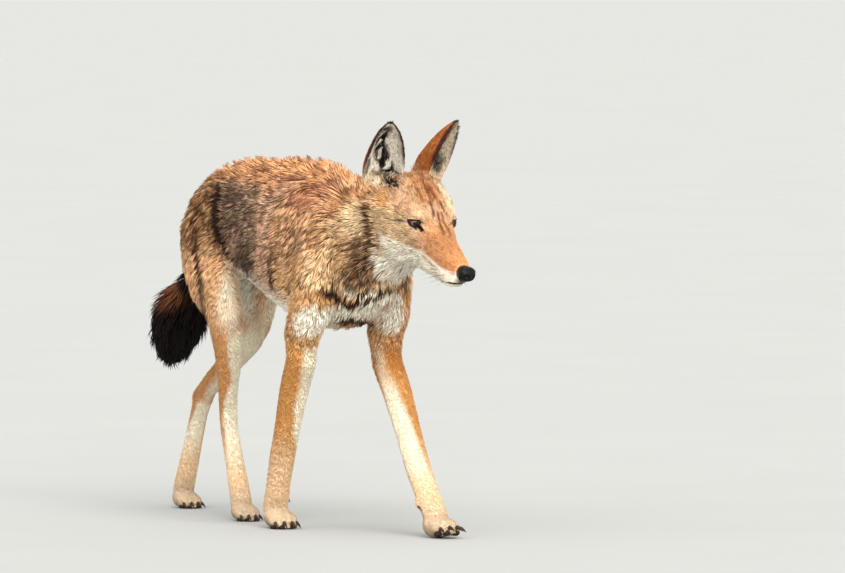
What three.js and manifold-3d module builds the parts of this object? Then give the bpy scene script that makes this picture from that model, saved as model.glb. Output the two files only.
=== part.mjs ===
// An Ethiopian wolf at a walk, life size, in millimetres, measured to the tips of its coat.
// +Z is up and the floor is z = 0. The wolf faces -Y, so its left side is +X, and the origin is on the floor
// under the middle of the animal. The body is modelled whole, from lofts along the bones, and is then parted
// with thin cuts where a person would name its parts.
import * as THREE from "three";
import { mergeVertices } from "three/addons/utils/BufferGeometryUtils.js";
import Module from "manifold-3d";

const wasm = await Module();
wasm.setup();

// ---- Driving dimensions -------------------------------------------------------------------------------
const WITHERS = 606; // height of the back over the shoulders
const BRISKET = 326; // height of the chest's lowest point
const FLANK = 398; // height of the belly's end between the thighs
const GAP = 0.4; // the width of a cut between two parts
const SOLE_LIFT = 1.5; // how far a rounded sole is sunk, which leaves its flat on the floor
const HEAD = { at: [30, -474, 515], yaw: 9, pitch: 27 }; // midway between the eyes; degrees left and nose-down
const EYE = { out: 33, back: 6, up: -2, radius: 10.5 };
const ORBIT = { out: 44, back: -7, up: 3, size: [16, 11, 8.5], turn: -50 }; // in the head's own frame
const EAR = { out: 47, back: 90, up: 18, splay: 10, turn: 17, lean: 2, slope: 36 };
const SWIVEL = { turn: 12, out: 5, splay: -2.5, spread: 1.1 }; // the left ear, turned out to listen
const NOSE = { front: -126, up: -31, wide: 16.5, high: 13.5, deep: 15 };
const MOUTH = { line: -62, corner: -20, front: -130 };
const TOE = { inner: 7, outer: 18.5, setback: 12, cleft: 5 };
const CLAW = { length: 16, radius: 3.2, droop: 24 };

// Joint centres, each [out to the left, back to the rump, up], and the middle of each paw on the floor.
// "heading" turns a paw to the left and "lift" raises its toes, both in degrees.
const LEGS = {
  foreleg_left: {
    shoulder: [66, -268, 440], elbow: [73, -216, 300], wrist: [78, -327, 108], foot: [80, -402],
    heading: 6, lift: 9,
  },
  foreleg_right: {
    shoulder: [-66, -262, 440], elbow: [-72, -200, 302], wrist: [-63, -106, 106], foot: [-57, -86],
    heading: -4, lift: 0,
  },
  hindleg_left: {
    hip: [52, 205, 480], knee: [52, 208, 322], hock: [22, 370, 192], foot: [14, 420],
    heading: 0, lift: 0,
  },
  hindleg_right: {
    hip: [-52, 205, 480], knee: [-62, 92, 338], hock: [-38, 147, 168], foot: [-32, 96],
    heading: -4, lift: 0,
  },
};

const COAT = {
  back: ["#a5683c", 0.95],
  neck: ["#8a6a4c", 0.95],
  face: ["#c08a58", 0.95],
  throat: ["#e9e0cf", 0.95],
  leg: ["#c08b5a", 0.95],
  paw: ["#dccbaf", 0.95],
  brush: ["#221b18", 0.95],
  nose: ["#141213", 0.45],
  eye: ["#4a2c16", 0.12],
};

// ---- Making solids ------------------------------------------------------------------------------------
const X = new THREE.Vector3(1, 0, 0);
const rad = THREE.MathUtils.degToRad;
const mixed = (a, b, t) => a.map((v, i) => v + (b[i] - v) * t);
const minus = (a, b) => a.map((v, i) => v - b[i]);

// Merges a closed geometry's shared vertices and makes it a solid for cutting and joining.
function solid(geometry) {
  const flat = geometry.index ? geometry.toNonIndexed() : geometry.clone();
  for (const name of Object.keys(flat.attributes)) if (name !== "position") flat.deleteAttribute(name);
  const merged = mergeVertices(flat, 1e-3);
  return new wasm.Manifold(
    new wasm.Mesh({
      numProp: 3,
      vertProperties: merged.attributes.position.array,
      triVerts: new Uint32Array(merged.index.array),
    }),
  );
}

function geometryOf(made) {
  const mesh = made.getMesh();
  const geometry = new THREE.BufferGeometry();
  geometry.setAttribute("position", new THREE.BufferAttribute(new Float32Array(mesh.vertProperties), 3));
  geometry.setIndex(new THREE.BufferAttribute(new Uint32Array(mesh.triVerts), 1));
  geometry.computeVertexNormals();
  return geometry;
}

const together = (solids) => solids.reduce((sum, next) => sum.add(next));

// Joins rings of points, each with the same count and turning left-handed about the way they run, into one
// closed skin with a fan at both ends.
function skinOver(rings) {
  const sides = rings[0].length;
  const points = rings.flat();
  const index = [];
  for (let r = 0; r + 1 < rings.length; r++)
    for (let s = 0; s < sides; s++) {
      const next = (s + 1) % sides;
      const [a, b, c, d] = [r * sides + s, r * sides + next, (r + 1) * sides + next, (r + 1) * sides + s];
      index.push(a, b, c, a, c, d);
    }
  for (const [ring, turned] of [[0, true], [rings.length - 1, false]]) {
    const middle = points.length;
    points.push(rings[ring].reduce((sum, p) => sum.add(p), new THREE.Vector3()).divideScalar(sides));
    for (let s = 0; s < sides; s++) {
      const pair = [ring * sides + s, ring * sides + ((s + 1) % sides)];
      index.push(...(turned ? pair.reverse() : pair), middle);
    }
  }
  return solid(new THREE.BufferGeometry().setFromPoints(points).setIndex(index));
}

// Catmull-Rom through rows of numbers, spaced by the distance between their first three.
function smoothRows(rows, count) {
  const place = (row) => new THREE.Vector3(row[0], row[1], row[2]);
  const knots = [0];
  for (let i = 1; i < rows.length; i++) knots.push(knots[i - 1] + place(rows[i]).distanceTo(place(rows[i - 1])));
  const slope = (i, k) => {
    const [before, after] = [Math.max(i - 1, 0), Math.min(i + 1, rows.length - 1)];
    return (rows[after][k] - rows[before][k]) / (knots[after] - knots[before]);
  };
  return Array.from({ length: count }, (_, n) => {
    const s = (knots.at(-1) * n) / (count - 1);
    const i = Math.min(knots.findLastIndex((knot) => knot <= s + 1e-9), rows.length - 2);
    const span = knots[i + 1] - knots[i];
    const t = (s - knots[i]) / span;
    return rows[i].map((value, k) => {
      const [ma, mb] = [slope(i, k) * span, slope(i + 1, k) * span];
      return (2 * t ** 3 - 3 * t ** 2 + 1) * value + (t ** 3 - 2 * t ** 2 + t) * ma
        + (3 * t ** 2 - 2 * t ** 3) * rows[i + 1][k] + (t ** 3 - t ** 2) * mb;
    });
  });
}

// A closed body lofted through stations [x, y, z, wide, fore, aft]: its centre, its half width across the
// body, and its half sizes on the front or top side and on the back or under side. "square" over 2 flattens
// the sides, "round" is how far each end bulges as a share of its own size, and "caps" is in how many steps.
function loft(stations, { sides = 12, rings = 12, square = 2, round = 0.6, caps = 2 } = {}) {
  const rows = smoothRows(stations, rings);
  const centre = (row) => new THREE.Vector3(row[0], row[1], row[2]);
  const ringAt = (middle, along, [wide, fore, aft]) => {
    const side = X.clone().addScaledVector(along, -X.dot(along)).normalize();
    const front = new THREE.Vector3().crossVectors(along, side);
    const bend = (v) => Math.sign(v) * Math.abs(v) ** (2 / square);
    return Array.from({ length: sides }, (_, s) => {
      const turn = (2 * Math.PI * s) / sides;
      const rise = Math.sin(turn);
      return middle.clone()
        .addScaledVector(side, wide * bend(Math.cos(turn)))
        .addScaledVector(front, (rise > 0 ? fore : aft) * bend(rise));
    });
  };
  const alongAt = (i) =>
    centre(rows[Math.min(i + 1, rows.length - 1)]).sub(centre(rows[Math.max(i - 1, 0)])).normalize();
  const capOf = (i, outwards) =>
    Array.from({ length: caps }, (_, n) => {
      const turn = (Math.PI / 2) * ((n + 1) / (caps + 0.8));
      const sizes = rows[i].slice(3);
      const reach = round * Math.min(...sizes) * Math.sin(turn);
      const middle = centre(rows[i]).addScaledVector(alongAt(i), outwards * reach);
      return ringAt(middle, alongAt(i), sizes.map((v) => v * Math.cos(turn)));
    });
  const body = rows.map((row, i) => ringAt(centre(row), alongAt(i), row.slice(3)));
  return skinOver([...capOf(0, -1).reverse(), ...body, ...capOf(rows.length - 1, 1)]);
}

// An ellipsoid of muscle or bone under the coat.
function mass([x, y, z], [a, b, c], [pitch, roll] = [0, 0], detail = [10, 6]) {
  const shape = new THREE.SphereGeometry(1, ...detail).scale(a, b, c).rotateX(rad(pitch)).rotateY(rad(roll));
  return solid(shape.translate(x, y, z));
}

// ---- Trunk, neck and tail -----------------------------------------------------------------------------
function torso() {
  const chest = (y, widest, wide, top, floor) => [0, y, widest, wide, top - widest, widest - floor];
  return loft(
    [
      chest(304, 476, 36, 512, 440),
      chest(270, 486, 60, 554, 408),
      chest(205, 494, 74, 590, 398),
      chest(120, 496, 70, WITHERS - 1, 402),
      chest(40, 486, 77, WITHERS + 3, 386),
      chest(-50, 470, 86, WITHERS + 5, 356),
      chest(-130, 458, 88, WITHERS, 334),
      chest(-205, 448, 82, WITHERS - 18, BRISKET),
      chest(-262, 436, 74, 556, 332),
      chest(-300, 425, 62, 520, 345),
      chest(-322, 424, 50, 492, 362),
    ],
    { sides: 16, rings: 12, square: 2.15 },
  );
}

function neck() {
  return loft(
    [
      [0, -150, 500, 60, 80, 90],
      [4, -236, 494, 68, 76, 114],
      [11, -306, 500, 67, 58, 118],
      [18, -362, 510, 60, 52, 88],
      [25, -410, 524, 52, 50, 62],
    ],
    { sides: 14, rings: 6, square: 2.1 },
  );
}

function tail() {
  return loft(
    [
      [0, 268, 530, 22, 20, 24],
      [-2, 298, 486, 22, 22, 24],
      [-6, 318, 420, 24, 23, 24],
      [-8, 338, 386, 32, 30, 32],
      [-9, 367, 357, 45, 42, 45],
      [-10, 402, 316, 50, 46, 48],
      [-10, 422, 284, 37, 34, 35],
      [-9, 432, 262, 20, 18, 18],
    ],
    { sides: 12, rings: 12, round: 0.7 },
  );
}

// ---- Legs ---------------------------------------------------------------------------------------------
function forelegOf({ shoulder, elbow, wrist, foot }) {
  const out = Math.sign(shoulder[0]);
  const paw = [foot[0], foot[1] + 14, 30];
  const blade = [
    [out * 38, -180, 552, 20, 30, 28],
    [out * 56, -214, 505, 30, 50, 46],
    [shoulder[0], shoulder[1] + 16, shoulder[2], 32, 46, 54],
    [...mixed(shoulder, elbow, 0.55), 33, 44, 48],
    [elbow[0], elbow[1] + 4, elbow[2] + 12, 28, 33, 38],
  ];
  const forearm = [
    [elbow[0], elbow[1] - 2, elbow[2] + 26, 27, 32, 37],
    [elbow[0], elbow[1] - 2, elbow[2] - 14, 25, 30, 30],
    [...mixed(elbow, wrist, 0.35), 24, 26, 25],
    [...mixed(elbow, wrist, 0.75), 21.5, 21, 20],
    [...wrist, 21.5, 20, 20.5],
    [...mixed(wrist, paw, 0.45), 20.5, 17.5, 19],
    [...mixed(wrist, paw, 0.85), 22, 17, 20],
    [...paw, 22, 17, 17],
  ];
  const heel = mixed(wrist, paw, 0.68);
  const dewclaw = [heel[0] - out * 17, heel[1] + 8, heel[2]];
  return together([
    loft(blade, { sides: 10, rings: 6, round: 0.8, caps: 1 }),
    loft(forearm, { sides: 10, rings: 8, round: 0.5, caps: 1 }),
    mass(dewclaw, [7, 9, 12], [-14, 0], [6, 4]),
    clawFrom([dewclaw[0] - out * 3, dewclaw[1] - 8, dewclaw[2] - 7], -out * 10),
  ]);
}

function hindlegOf({ hip, knee, hock, foot }) {
  const out = Math.sign(hip[0]);
  const heel = [hock[0], hock[1] + 15, hock[2] + 10];
  const paw = [foot[0], foot[1] + 12, 28];
  const haunch = [
    [out * 38, 200, 528, 34, 56, 54],
    [hip[0] - out * 4, hip[1] + 4, hip[2], 40, 72, 74],
    [...mixed([hip[0], hip[1] + 22, hip[2]], [knee[0], knee[1] + 30, knee[2]], 0.55), 38, 62, 62],
    [knee[0], knee[1] + 16, knee[2] + 14, 31, 40, 48],
    [...mixed(knee, hock, 0.3), 24, 28, 34],
  ];
  const shank = [
    [knee[0], knee[1] + 14, knee[2] + 14, 27, 32, 40],
    [...mixed(knee, hock, 0.22), 25, 28, 36],
    [...mixed(knee, hock, 0.6), 18.5, 18, 22],
    [...mixed(knee, hock, 0.88), 15, 15, 17],
    [...hock, 15.5, 15, 18],
    [...mixed(hock, paw, 0.25), 14.5, 14, 16],
    [...mixed(hock, paw, 0.65), 17, 14, 15],
    [...mixed(hock, paw, 0.9), 19, 15.5, 16],
    [...paw, 19, 15, 15],
  ];
  const tendon = [
    [...mixed(knee, [hock[0], hock[1] + 10, hock[2] + 10], 0.45), 14, 16, 22],
    [...mixed(knee, heel, 0.8), 9.5, 10, 11],
    [...heel, 11, 11, 11],
    [...mixed([heel[0], heel[1] - 8, heel[2]], paw, 0.3), 8, 7, 7],
  ];
  return together([
    loft(haunch, { sides: 12, rings: 7, round: 0.8, caps: 1 }),
    loft(shank, { sides: 10, rings: 9, round: 0.5, caps: 1 }),
    loft(tendon, { sides: 6, rings: 5, round: 0.6, caps: 1 }),
  ]);
}

// ---- Paws: toes, claws and pads, in a frame on the floor that faces -Y -----------------------------------
function clawFrom([x, y, z], yaw) {
  const horn = new THREE.ConeGeometry(CLAW.radius, CLAW.length, 5).rotateX(rad(180 + CLAW.droop));
  return solid(horn.rotateZ(rad(yaw)).translate(x, y, z));
}

// One skin from the heel to the toes. Each ring runs round the foot and dips at three clefts, which leaves
// four toes: the outer two stand back, and all of them round off at the front.
function footSkin() {
  const stations = [
    [0, 27, 24, 16, 11, 20],
    [0, 10, 22, 24, 15, 22],
    [0, -8, 19, 25, 14, 19],
    [0, -24, 17, 25.5, 11, 17],
    [0, -36, 13, 23, 9, 12],
    [0, -43, 11, 17, 5, 7],
  ];
  const sides = 20;
  const rings = smoothRows(stations, 5).map(([, y, z, wide, top, sole], i, all) => {
    const toe = Math.max(0, (2 * i) / (all.length - 1) - 1) ** 0.7; // 0 to the middle of the foot, 1 at the tips
    return Array.from({ length: sides }, (_, s) => {
      const turn = (2 * Math.PI * s) / sides;
      const across = Math.cos(turn);
      const cleft = (s % 10 === 5 || s % 10 === 3 || s % 10 === 7 ? 1 : 0) * toe;
      const rise = Math.sin(turn) * (Math.sin(turn) > 0 ? top - 3 * cleft : sole);
      return new THREE.Vector3(wide * across, y + toe * (TOE.setback * across ** 2 + TOE.cleft * cleft), z + rise);
    });
  });
  return skinOver(rings);
}

function pawOf({ foot, heading, lift }, size) {
  const claws = [-1, 1].flatMap((side) => [
    clawFrom([side * TOE.inner, -44, 11], side * 3),
    clawFrom([side * TOE.outer, -46 + TOE.setback, 10], side * 8),
  ]);
  const place = new THREE.Matrix4()
    .makeTranslation(foot[0], foot[1], 0)
    .multiply(new THREE.Matrix4().makeRotationZ(rad(heading)))
    .multiply(new THREE.Matrix4().makeTranslation(0, 12, 0))
    .multiply(new THREE.Matrix4().makeRotationX(rad(-lift)))
    .multiply(new THREE.Matrix4().makeTranslation(0, -12 * size, -SOLE_LIFT))
    .multiply(new THREE.Matrix4().makeScale(size, size, size));
  return together([footSkin(), ...claws]).transform(place.elements);
}

// ---- Head, in its own frame: the origin midway between the eyes, facing -Y --------------------------------
const skull = (y, middle, wide, top, floor) => [0, y, middle, wide, top - middle, middle - floor];

function cranium() {
  return loft(
    [
      skull(108, -10, 40, 34, -56),
      skull(84, -9, 54, 47, -74),
      skull(58, -12, 61, 48, -86),
      skull(36, -14, 60, 41, -93),
      skull(16, -16, 54, 33, -93),
      skull(-2, -20, 41, 22, -91),
      skull(-20, -26, 31, 11, -86),
      skull(-40, -32, 25.5, 0, -80),
      skull(-62, -36, 22, -7, -75),
      skull(-84, -40, 20.7, -13, -70),
      skull(-101, -40, 17.6, -18, -63),
      skull(-110, -38, 11.5, -22, -55),
    ],
    { sides: 18, rings: 13, square: 2.7, round: 0.5 },
  );
}

// The swell of the head under each ear.
const earRoots = () =>
  together([-1, 1].map((side) => mass([side * 47, 74, -3], [31, 37, 24], [0, side * 14], [10, 6])));

// The hollow before and beside each eye, which opens forwards, outwards and a little up.
function orbits() {
  return together(
    [-1, 1].map((side) => {
      const hollow = new THREE.SphereGeometry(1, 10, 7).scale(...ORBIT.size);
      hollow.rotateY(rad(side * -20)).rotateZ(rad(side * ORBIT.turn));
      return solid(hollow.translate(side * ORBIT.out, ORBIT.back, ORBIT.up));
    }),
  );
}

function nosePad(grown = 0) {
  const { front, up, wide, high, deep } = NOSE;
  const station = (y, w, h) => [0, y, up, w + grown, h + grown, h + grown];
  return loft(
    [
      station(front + deep + 5 + grown, wide * 0.7, high * 0.8),
      station(front + deep * 0.6, wide * 0.98, high * 0.98),
      station(front + deep * 0.22, wide * 0.98, high * 0.92),
      station(front - grown, wide * 0.72, high * 0.62),
    ],
    { sides: 12, rings: 4, square: 2.5, round: 0.4, caps: 1 },
  );
}

// A cupped ear whose opening faces -Y: rings [outwards, 0, up, half width, depth behind the opening, rim, cup],
// from a filled root to a thin rounded tip.
function earOf(side) {
  const { turn, out: shift, splay, spread } = side > 0 ? SWIVEL : { turn: 0, out: 0, splay: 0, spread: 1 };
  const profile = [
    [3, 0, -16, 24, 26, 4, 0.05],
    [3, 0, 0, 32, 37, 4, 0.08],
    [2, 0, 22, 35, 40, 3.6, 0.62],
    [1, 0, 46, 34, 35, 3.2, 0.84],
    [0, 0, 72, 28.5, 27, 2.8, 0.82],
    [0, 0, 92, 22, 19, 2.4, 0.78],
    [0, 0, 108, 13, 10, 2, 0.66],
    [0, 0, 117, 5, 4.5, 1.5, 0.4],
  ];
  const rings = smoothRows(profile, 9).map(([out, , up, wide, deep, rim, cup]) => {
    const arc = (w, d) =>
      Array.from({ length: 7 }, (_, i) => {
        const round = (Math.PI * i) / 6;
        return new THREE.Vector3(side * out + w * Math.cos(round), d * Math.sin(round), up);
      });
    const [w, d] = [wide * spread, deep * spread];
    return [...arc(w, d), ...arc(w - rim, d * cup).reverse()];
  });
  const place = new THREE.Matrix4()
    .makeTranslation(side * (EAR.out + shift), EAR.back, EAR.up)
    .multiply(new THREE.Matrix4().makeRotationY(rad(side * (EAR.splay + splay))))
    .multiply(new THREE.Matrix4().makeRotationX(rad(-EAR.lean)))
    .multiply(new THREE.Matrix4().makeRotationZ(rad(side * (EAR.turn + turn))));
  return skinOver(rings).transform(place.elements);
}

function eyeball(side, radius) {
  return mass([side * EYE.out, EYE.back, EYE.up], [radius, radius, radius], [90, 0], [10, 7]);
}

const headPlace = new THREE.Matrix4()
  .makeTranslation(...HEAD.at)
  .multiply(new THREE.Matrix4().makeRotationZ(rad(HEAD.yaw)))
  .multiply(new THREE.Matrix4().makeRotationX(rad(HEAD.pitch)));
const onHead = (made) => made.transform(headPlace.elements);
const headPoint = (x, y, z) => new THREE.Vector3(x, y, z).applyMatrix4(headPlace).toArray();

// ---- The whole body, and the cuts between its parts -----------------------------------------------------
const legs = Object.values(LEGS);
const isFore = (leg) => "wrist" in leg;
const floorBlock = solid(new THREE.BoxGeometry(2000, 3000, 200).translate(0, 0, -100));

function wholeBody() {
  const limbs = legs.flatMap((leg) => [
    isFore(leg) ? forelegOf(leg) : hindlegOf(leg),
    pawOf(leg, isFore(leg) ? 1 : 0.88),
  ]);
  const head = together([cranium(), earRoots()]).subtract(orbits()).add(earOf(-1)).add(earOf(1));
  const sockets = together([nosePad(GAP), eyeball(-1, EYE.radius + GAP), eyeball(1, EYE.radius + GAP)]);
  return together([torso(), neck(), tail(), ...limbs, onHead(head)]).subtract(onHead(sockets)).subtract(floorBlock);
}

function cutAcross(at, towards, radius) {
  const disc = new THREE.CylinderGeometry(radius, radius, GAP, 24);
  const turn = new THREE.Quaternion().setFromUnitVectors(
    new THREE.Vector3(0, 1, 0),
    new THREE.Vector3(...towards).normalize(),
  );
  return solid(disc.applyQuaternion(turn).translate(...at));
}

// A thin plate across the head from one point of its middle plane to another.
function mouthPlate([y0, z0], [y1, z1]) {
  const length = Math.hypot(y1 - y0, z1 - z0);
  const plate = new THREE.BoxGeometry(160, length + GAP, GAP).rotateX(Math.atan2(z1 - z0, y1 - y0));
  return solid(plate.translate(0, (y0 + y1) / 2, (z0 + z1) / 2));
}

function cuts() {
  const { line, corner, front } = MOUTH;
  const made = [
    cutAcross([4, -262, 492], [0.05, -0.84, 0.55], 152), // neck from trunk
    cutAcross([20, -390, 522], [0.12, -1, 0.35], 120), // head from neck
    cutAcross([-5, 313, 438], [-0.05, 0.3, -1], 36), // tail from trunk
    onHead(mouthPlate([front, line + 3], [corner, line])),
    onHead(mouthPlate([corner, line], [corner + 22, line - 40])),
  ];
  for (const side of [-1, 1]) {
    const slope = rad(side * EAR.slope);
    const root = headPoint(side * EAR.out, EAR.back + 12, EAR.up + 16);
    const up = minus(headPoint(Math.sin(slope), 0, Math.cos(slope)), headPoint(0, 0, 0));
    made.push(cutAcross(root, up, 46));
  }
  for (const leg of legs) {
    if (isFore(leg)) {
      made.push(cutAcross([leg.elbow[0], leg.elbow[1], BRISKET - 8], [0, 0, 1], 60));
      made.push(cutAcross(leg.wrist, minus(leg.elbow, leg.wrist), 34));
    } else {
      const groin = mixed(leg.hip, [leg.knee[0], leg.knee[1] + 40, leg.knee[2]], 0.6);
      made.push(cutAcross([groin[0], groin[1], FLANK - 10], [0, 0, 1], 98));
      made.push(cutAcross(mixed(leg.knee, leg.hock, 0.2), minus(leg.knee, leg.hock), 52));
      made.push(cutAcross(mixed(leg.hock, [...leg.foot, 28], 0.2), minus(leg.hock, [...leg.foot, 28]), 34));
    }
  }
  return together(made);
}

const solids = wholeBody().subtract(cuts()).decompose();
const middleOf = (piece) => {
  const { min, max } = piece.boundingBox();
  return mixed(min, max, 0.5);
};
const nearest = (point) =>
  solids.reduce((best, piece) =>
    Math.hypot(...minus(middleOf(piece), point)) < Math.hypot(...minus(middleOf(best), point)) ? piece : best,
  );

const legParts = ([name, leg]) => {
  const side = name.split("_")[1];
  if (isFore(leg))
    return [
      [name, mixed(leg.elbow, leg.wrist, 0.5), COAT.leg],
      [`forepaw_${side}`, [...leg.foot, 50], COAT.paw],
    ];
  return [
    [`thigh_${side}`, mixed(leg.hip, leg.knee, 0.9), COAT.back],
    [`hindleg_${side}`, mixed(leg.knee, leg.hock, 0.5), COAT.leg],
    [`hindpaw_${side}`, mixed([...leg.foot, 0], leg.hock, 0.5), COAT.paw],
  ];
};

const parts = [
  ["trunk", [0, 0, 450], COAT.back],
  ["neck", [6, -295, 490], COAT.neck],
  ["head", headPoint(0, -10, -10), COAT.face],
  ["lower_jaw", headPoint(0, -50, -70), COAT.throat],
  ["ear_left", headPoint(EAR.out + 8, EAR.back, EAR.up + 60), COAT.back],
  ["ear_right", headPoint(-EAR.out - 8, EAR.back, EAR.up + 60), COAT.back],
  ["tail", [-8, 370, 350], COAT.brush],
  ...Object.entries(LEGS).flatMap(legParts),
].map(([name, point, look]) => [name, nearest(point), look]);

const wolf = new THREE.Group();
wolf.name = "ethiopian_wolf";
for (const [name, piece, [colour, roughness]] of [
  ...parts,
  ["nose_pad", onHead(nosePad()), COAT.nose],
  ["eye_left", onHead(eyeball(1, EYE.radius)), COAT.eye],
  ["eye_right", onHead(eyeball(-1, EYE.radius)), COAT.eye],
]) {
  const look = new THREE.MeshStandardMaterial({ color: colour, roughness, metalness: 0 });
  const mesh = new THREE.Mesh(geometryOf(piece), look);
  mesh.name = name;
  wolf.add(mesh);
}

// The origin goes to the floor under the middle of the animal's box.
const box = new THREE.Box3().setFromObject(wolf);
const centre = box.getCenter(new THREE.Vector3());
for (const mesh of wolf.children) mesh.geometry.translate(-centre.x, -centre.y, -box.min.z);

export default wolf;
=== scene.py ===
# %% [markdown]
# # A walking Ethiopian wolf
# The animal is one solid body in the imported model, parted with thin cuts, and this notebook dresses it.
# First comes one skin for all its flesh. Then come the eyes, the nose, claws, pads and whiskers, which
# stay pieces of their own, and then the coat: tens of thousands of small tapered locks that follow the lie
# of the hair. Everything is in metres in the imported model's frame: +Z is up, the wolf faces -Y and its
# left side is +X.

import math

import bmesh
import bpy
import numpy as np
from mathutils import Matrix, Vector
from mathutils.bvhtree import BVHTree
from mathutils.kdtree import KDTree


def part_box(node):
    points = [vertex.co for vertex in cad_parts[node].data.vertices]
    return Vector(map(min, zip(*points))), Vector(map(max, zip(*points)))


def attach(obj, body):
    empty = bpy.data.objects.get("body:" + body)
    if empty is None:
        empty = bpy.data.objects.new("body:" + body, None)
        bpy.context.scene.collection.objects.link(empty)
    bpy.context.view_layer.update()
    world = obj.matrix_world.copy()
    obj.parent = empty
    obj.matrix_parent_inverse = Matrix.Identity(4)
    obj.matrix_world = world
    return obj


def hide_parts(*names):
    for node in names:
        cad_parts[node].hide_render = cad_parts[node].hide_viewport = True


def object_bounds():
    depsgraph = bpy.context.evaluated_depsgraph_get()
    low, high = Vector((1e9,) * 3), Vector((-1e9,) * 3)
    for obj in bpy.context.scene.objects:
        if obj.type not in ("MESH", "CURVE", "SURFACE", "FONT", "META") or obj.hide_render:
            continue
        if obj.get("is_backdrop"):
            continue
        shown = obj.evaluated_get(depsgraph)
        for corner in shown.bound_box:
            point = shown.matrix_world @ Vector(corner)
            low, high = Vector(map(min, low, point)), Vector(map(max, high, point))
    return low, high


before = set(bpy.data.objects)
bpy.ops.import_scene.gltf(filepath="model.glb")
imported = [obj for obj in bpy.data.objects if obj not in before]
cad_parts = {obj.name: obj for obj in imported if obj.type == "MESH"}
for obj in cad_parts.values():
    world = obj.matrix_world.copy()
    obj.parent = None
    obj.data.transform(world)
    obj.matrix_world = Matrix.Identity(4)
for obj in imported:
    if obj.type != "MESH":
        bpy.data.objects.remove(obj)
cad_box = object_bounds()
print("the packed wolf reaches from", tuple(cad_box[0]), "to", tuple(cad_box[1]))


def stand(name, data):
    """A new object in the scene."""
    thing = bpy.data.objects.new(name, data)
    bpy.context.scene.collection.objects.link(thing)
    return thing


# %% [markdown]
# ## Where things are
# Markings and folds sit on anatomy, so the script needs a few landmarks. They could be typed in as places
# in the room, but then they would slip whenever the body is packed again. Instead, the wolf's own drawing
# frame is found from the two eyeballs, and a second frame is fixed in the head, which is turned 9 degrees
# to its left and tipped 27 degrees nose-down. All landmarks below are in millimetres in one of these two
# frames.

# %% Landmark frames
MM = 0.001
HEAD_AT = np.array([30.0, -474.0, 515.0])
yaw, pitch = math.radians(9), math.radians(27)
HEAD_TURN = np.array(Matrix.Rotation(yaw, 3, "Z") @ Matrix.Rotation(pitch, 3, "X"))
EYE = {1: np.array([35.5, 3.0, -1.0]), -1: np.array([-33.0, 6.0, -2.0])}
EYE_RADIUS = 10.5

eye_boxes = [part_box("eye_left"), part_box("eye_right")]
eyes_middle = np.array(sum((Vector(low) + Vector(high) for low, high in eye_boxes), Vector())) / 4 / MM
SHIFT = eyes_middle - (HEAD_AT + HEAD_TURN @ np.array([0.0, 6.0, -2.0]))


def from_head(points):
    """Points in the head's frame, in the wolf's drawing frame."""
    return np.asarray(points, float) @ HEAD_TURN.T + HEAD_AT


def to_head(points):
    """Points in the wolf's drawing frame, in the head's frame."""
    return (np.asarray(points, float) - HEAD_AT) @ HEAD_TURN


def to_room(points):
    """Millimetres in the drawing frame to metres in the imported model's frame."""
    return (np.asarray(points, float) + SHIFT) * MM


def to_drawing(points):
    """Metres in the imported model's frame to millimetres in the drawing frame."""
    return np.asarray(points, float) / MM - SHIFT


print("the drawing frame is off the packed one by", np.round(SHIFT, 2), "mm")

# %% [markdown]
# ## The camera
# A long lens from in front and to the right, almost level with the back, flattens perspective the way a
# wildlife lens does. It is placed first, so every later piece can be judged through it. The lens is long
# because the camera stands 14 m away; its depth of field stays off.

# %% Camera
AZIMUTH, ELEVATION, DISTANCE = math.radians(-27), math.radians(2.5), 14.0
VIEW_WIDTH = 1.40133  # how many metres the camera sees across, at the wolf
SENSOR = 36
TO_THE_RIGHT, UPWARDS = 0.22471, 0.06385  # how far the middle of the view lies from the middle of the wolf
back = Vector(
    (math.sin(AZIMUTH) * math.cos(ELEVATION), -math.cos(AZIMUTH) * math.cos(ELEVATION), math.sin(ELEVATION))
)
right = Vector((math.cos(AZIMUTH), math.sin(AZIMUTH), 0))
upwards = back.cross(right)
aim = Vector(to_room([0, 0, 330])) + right * TO_THE_RIGHT + upwards * UPWARDS
camera_data = bpy.data.cameras.new("camera")
camera_data.sensor_width = SENSOR
camera_data.lens = SENSOR * DISTANCE / VIEW_WIDTH
camera_data.clip_start, camera_data.clip_end = 1, 60
camera = stand("camera", camera_data)
camera.location = aim + back * DISTANCE
camera.rotation_mode = "QUATERNION"
camera.rotation_quaternion = Matrix((right, upwards, back)).transposed().to_quaternion()
bpy.context.scene.camera = camera
print("lens", round(camera_data.lens, 1), "mm, camera at", tuple(round(v, 2) for v in camera.location))

# %% [markdown]
# ## Small helpers for shape
# Almost everything on an animal fades into its neighbour, so masks are made of two soft functions: an ease
# from 0 to 1, and a soft tube round a line.


# %% Soft masks
def ease(x, low, high):
    """0 below low, 1 above high, smooth between. low may be the larger one."""
    t = np.clip((x - low) / (high - low), 0, 1)
    return t * t * (3 - 2 * t)


def line_distance(points, start, end):
    """Distance of each point from a straight line piece, and how far along it lies, from 0 to 1."""
    start, end = np.asarray(start, float), np.asarray(end, float)
    span = end - start
    t = np.clip((points - start) @ span / (span @ span), 0, 1)
    return np.linalg.norm(points - start - t[:, None] * span, axis=1), t


def on_path(points, path):
    """For each point: its distance from a path, the nearest piece of it, and how far along that piece."""
    found = [line_distance(points, a, b) for a, b in zip(path, path[1:])]
    far = np.array([away for away, _ in found])
    piece = far.argmin(0)
    return far.min(0), piece, np.array([t for _, t in found])[piece, np.arange(len(points))]


def tube(points, path, reach, soft=0.5):
    """1 inside a tube round a path, fading to 0 between reach * (1 - soft) and reach * (1 + soft)."""
    return ease(on_path(points, path)[0], reach * (1 + soft), reach * (1 - soft))


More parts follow.
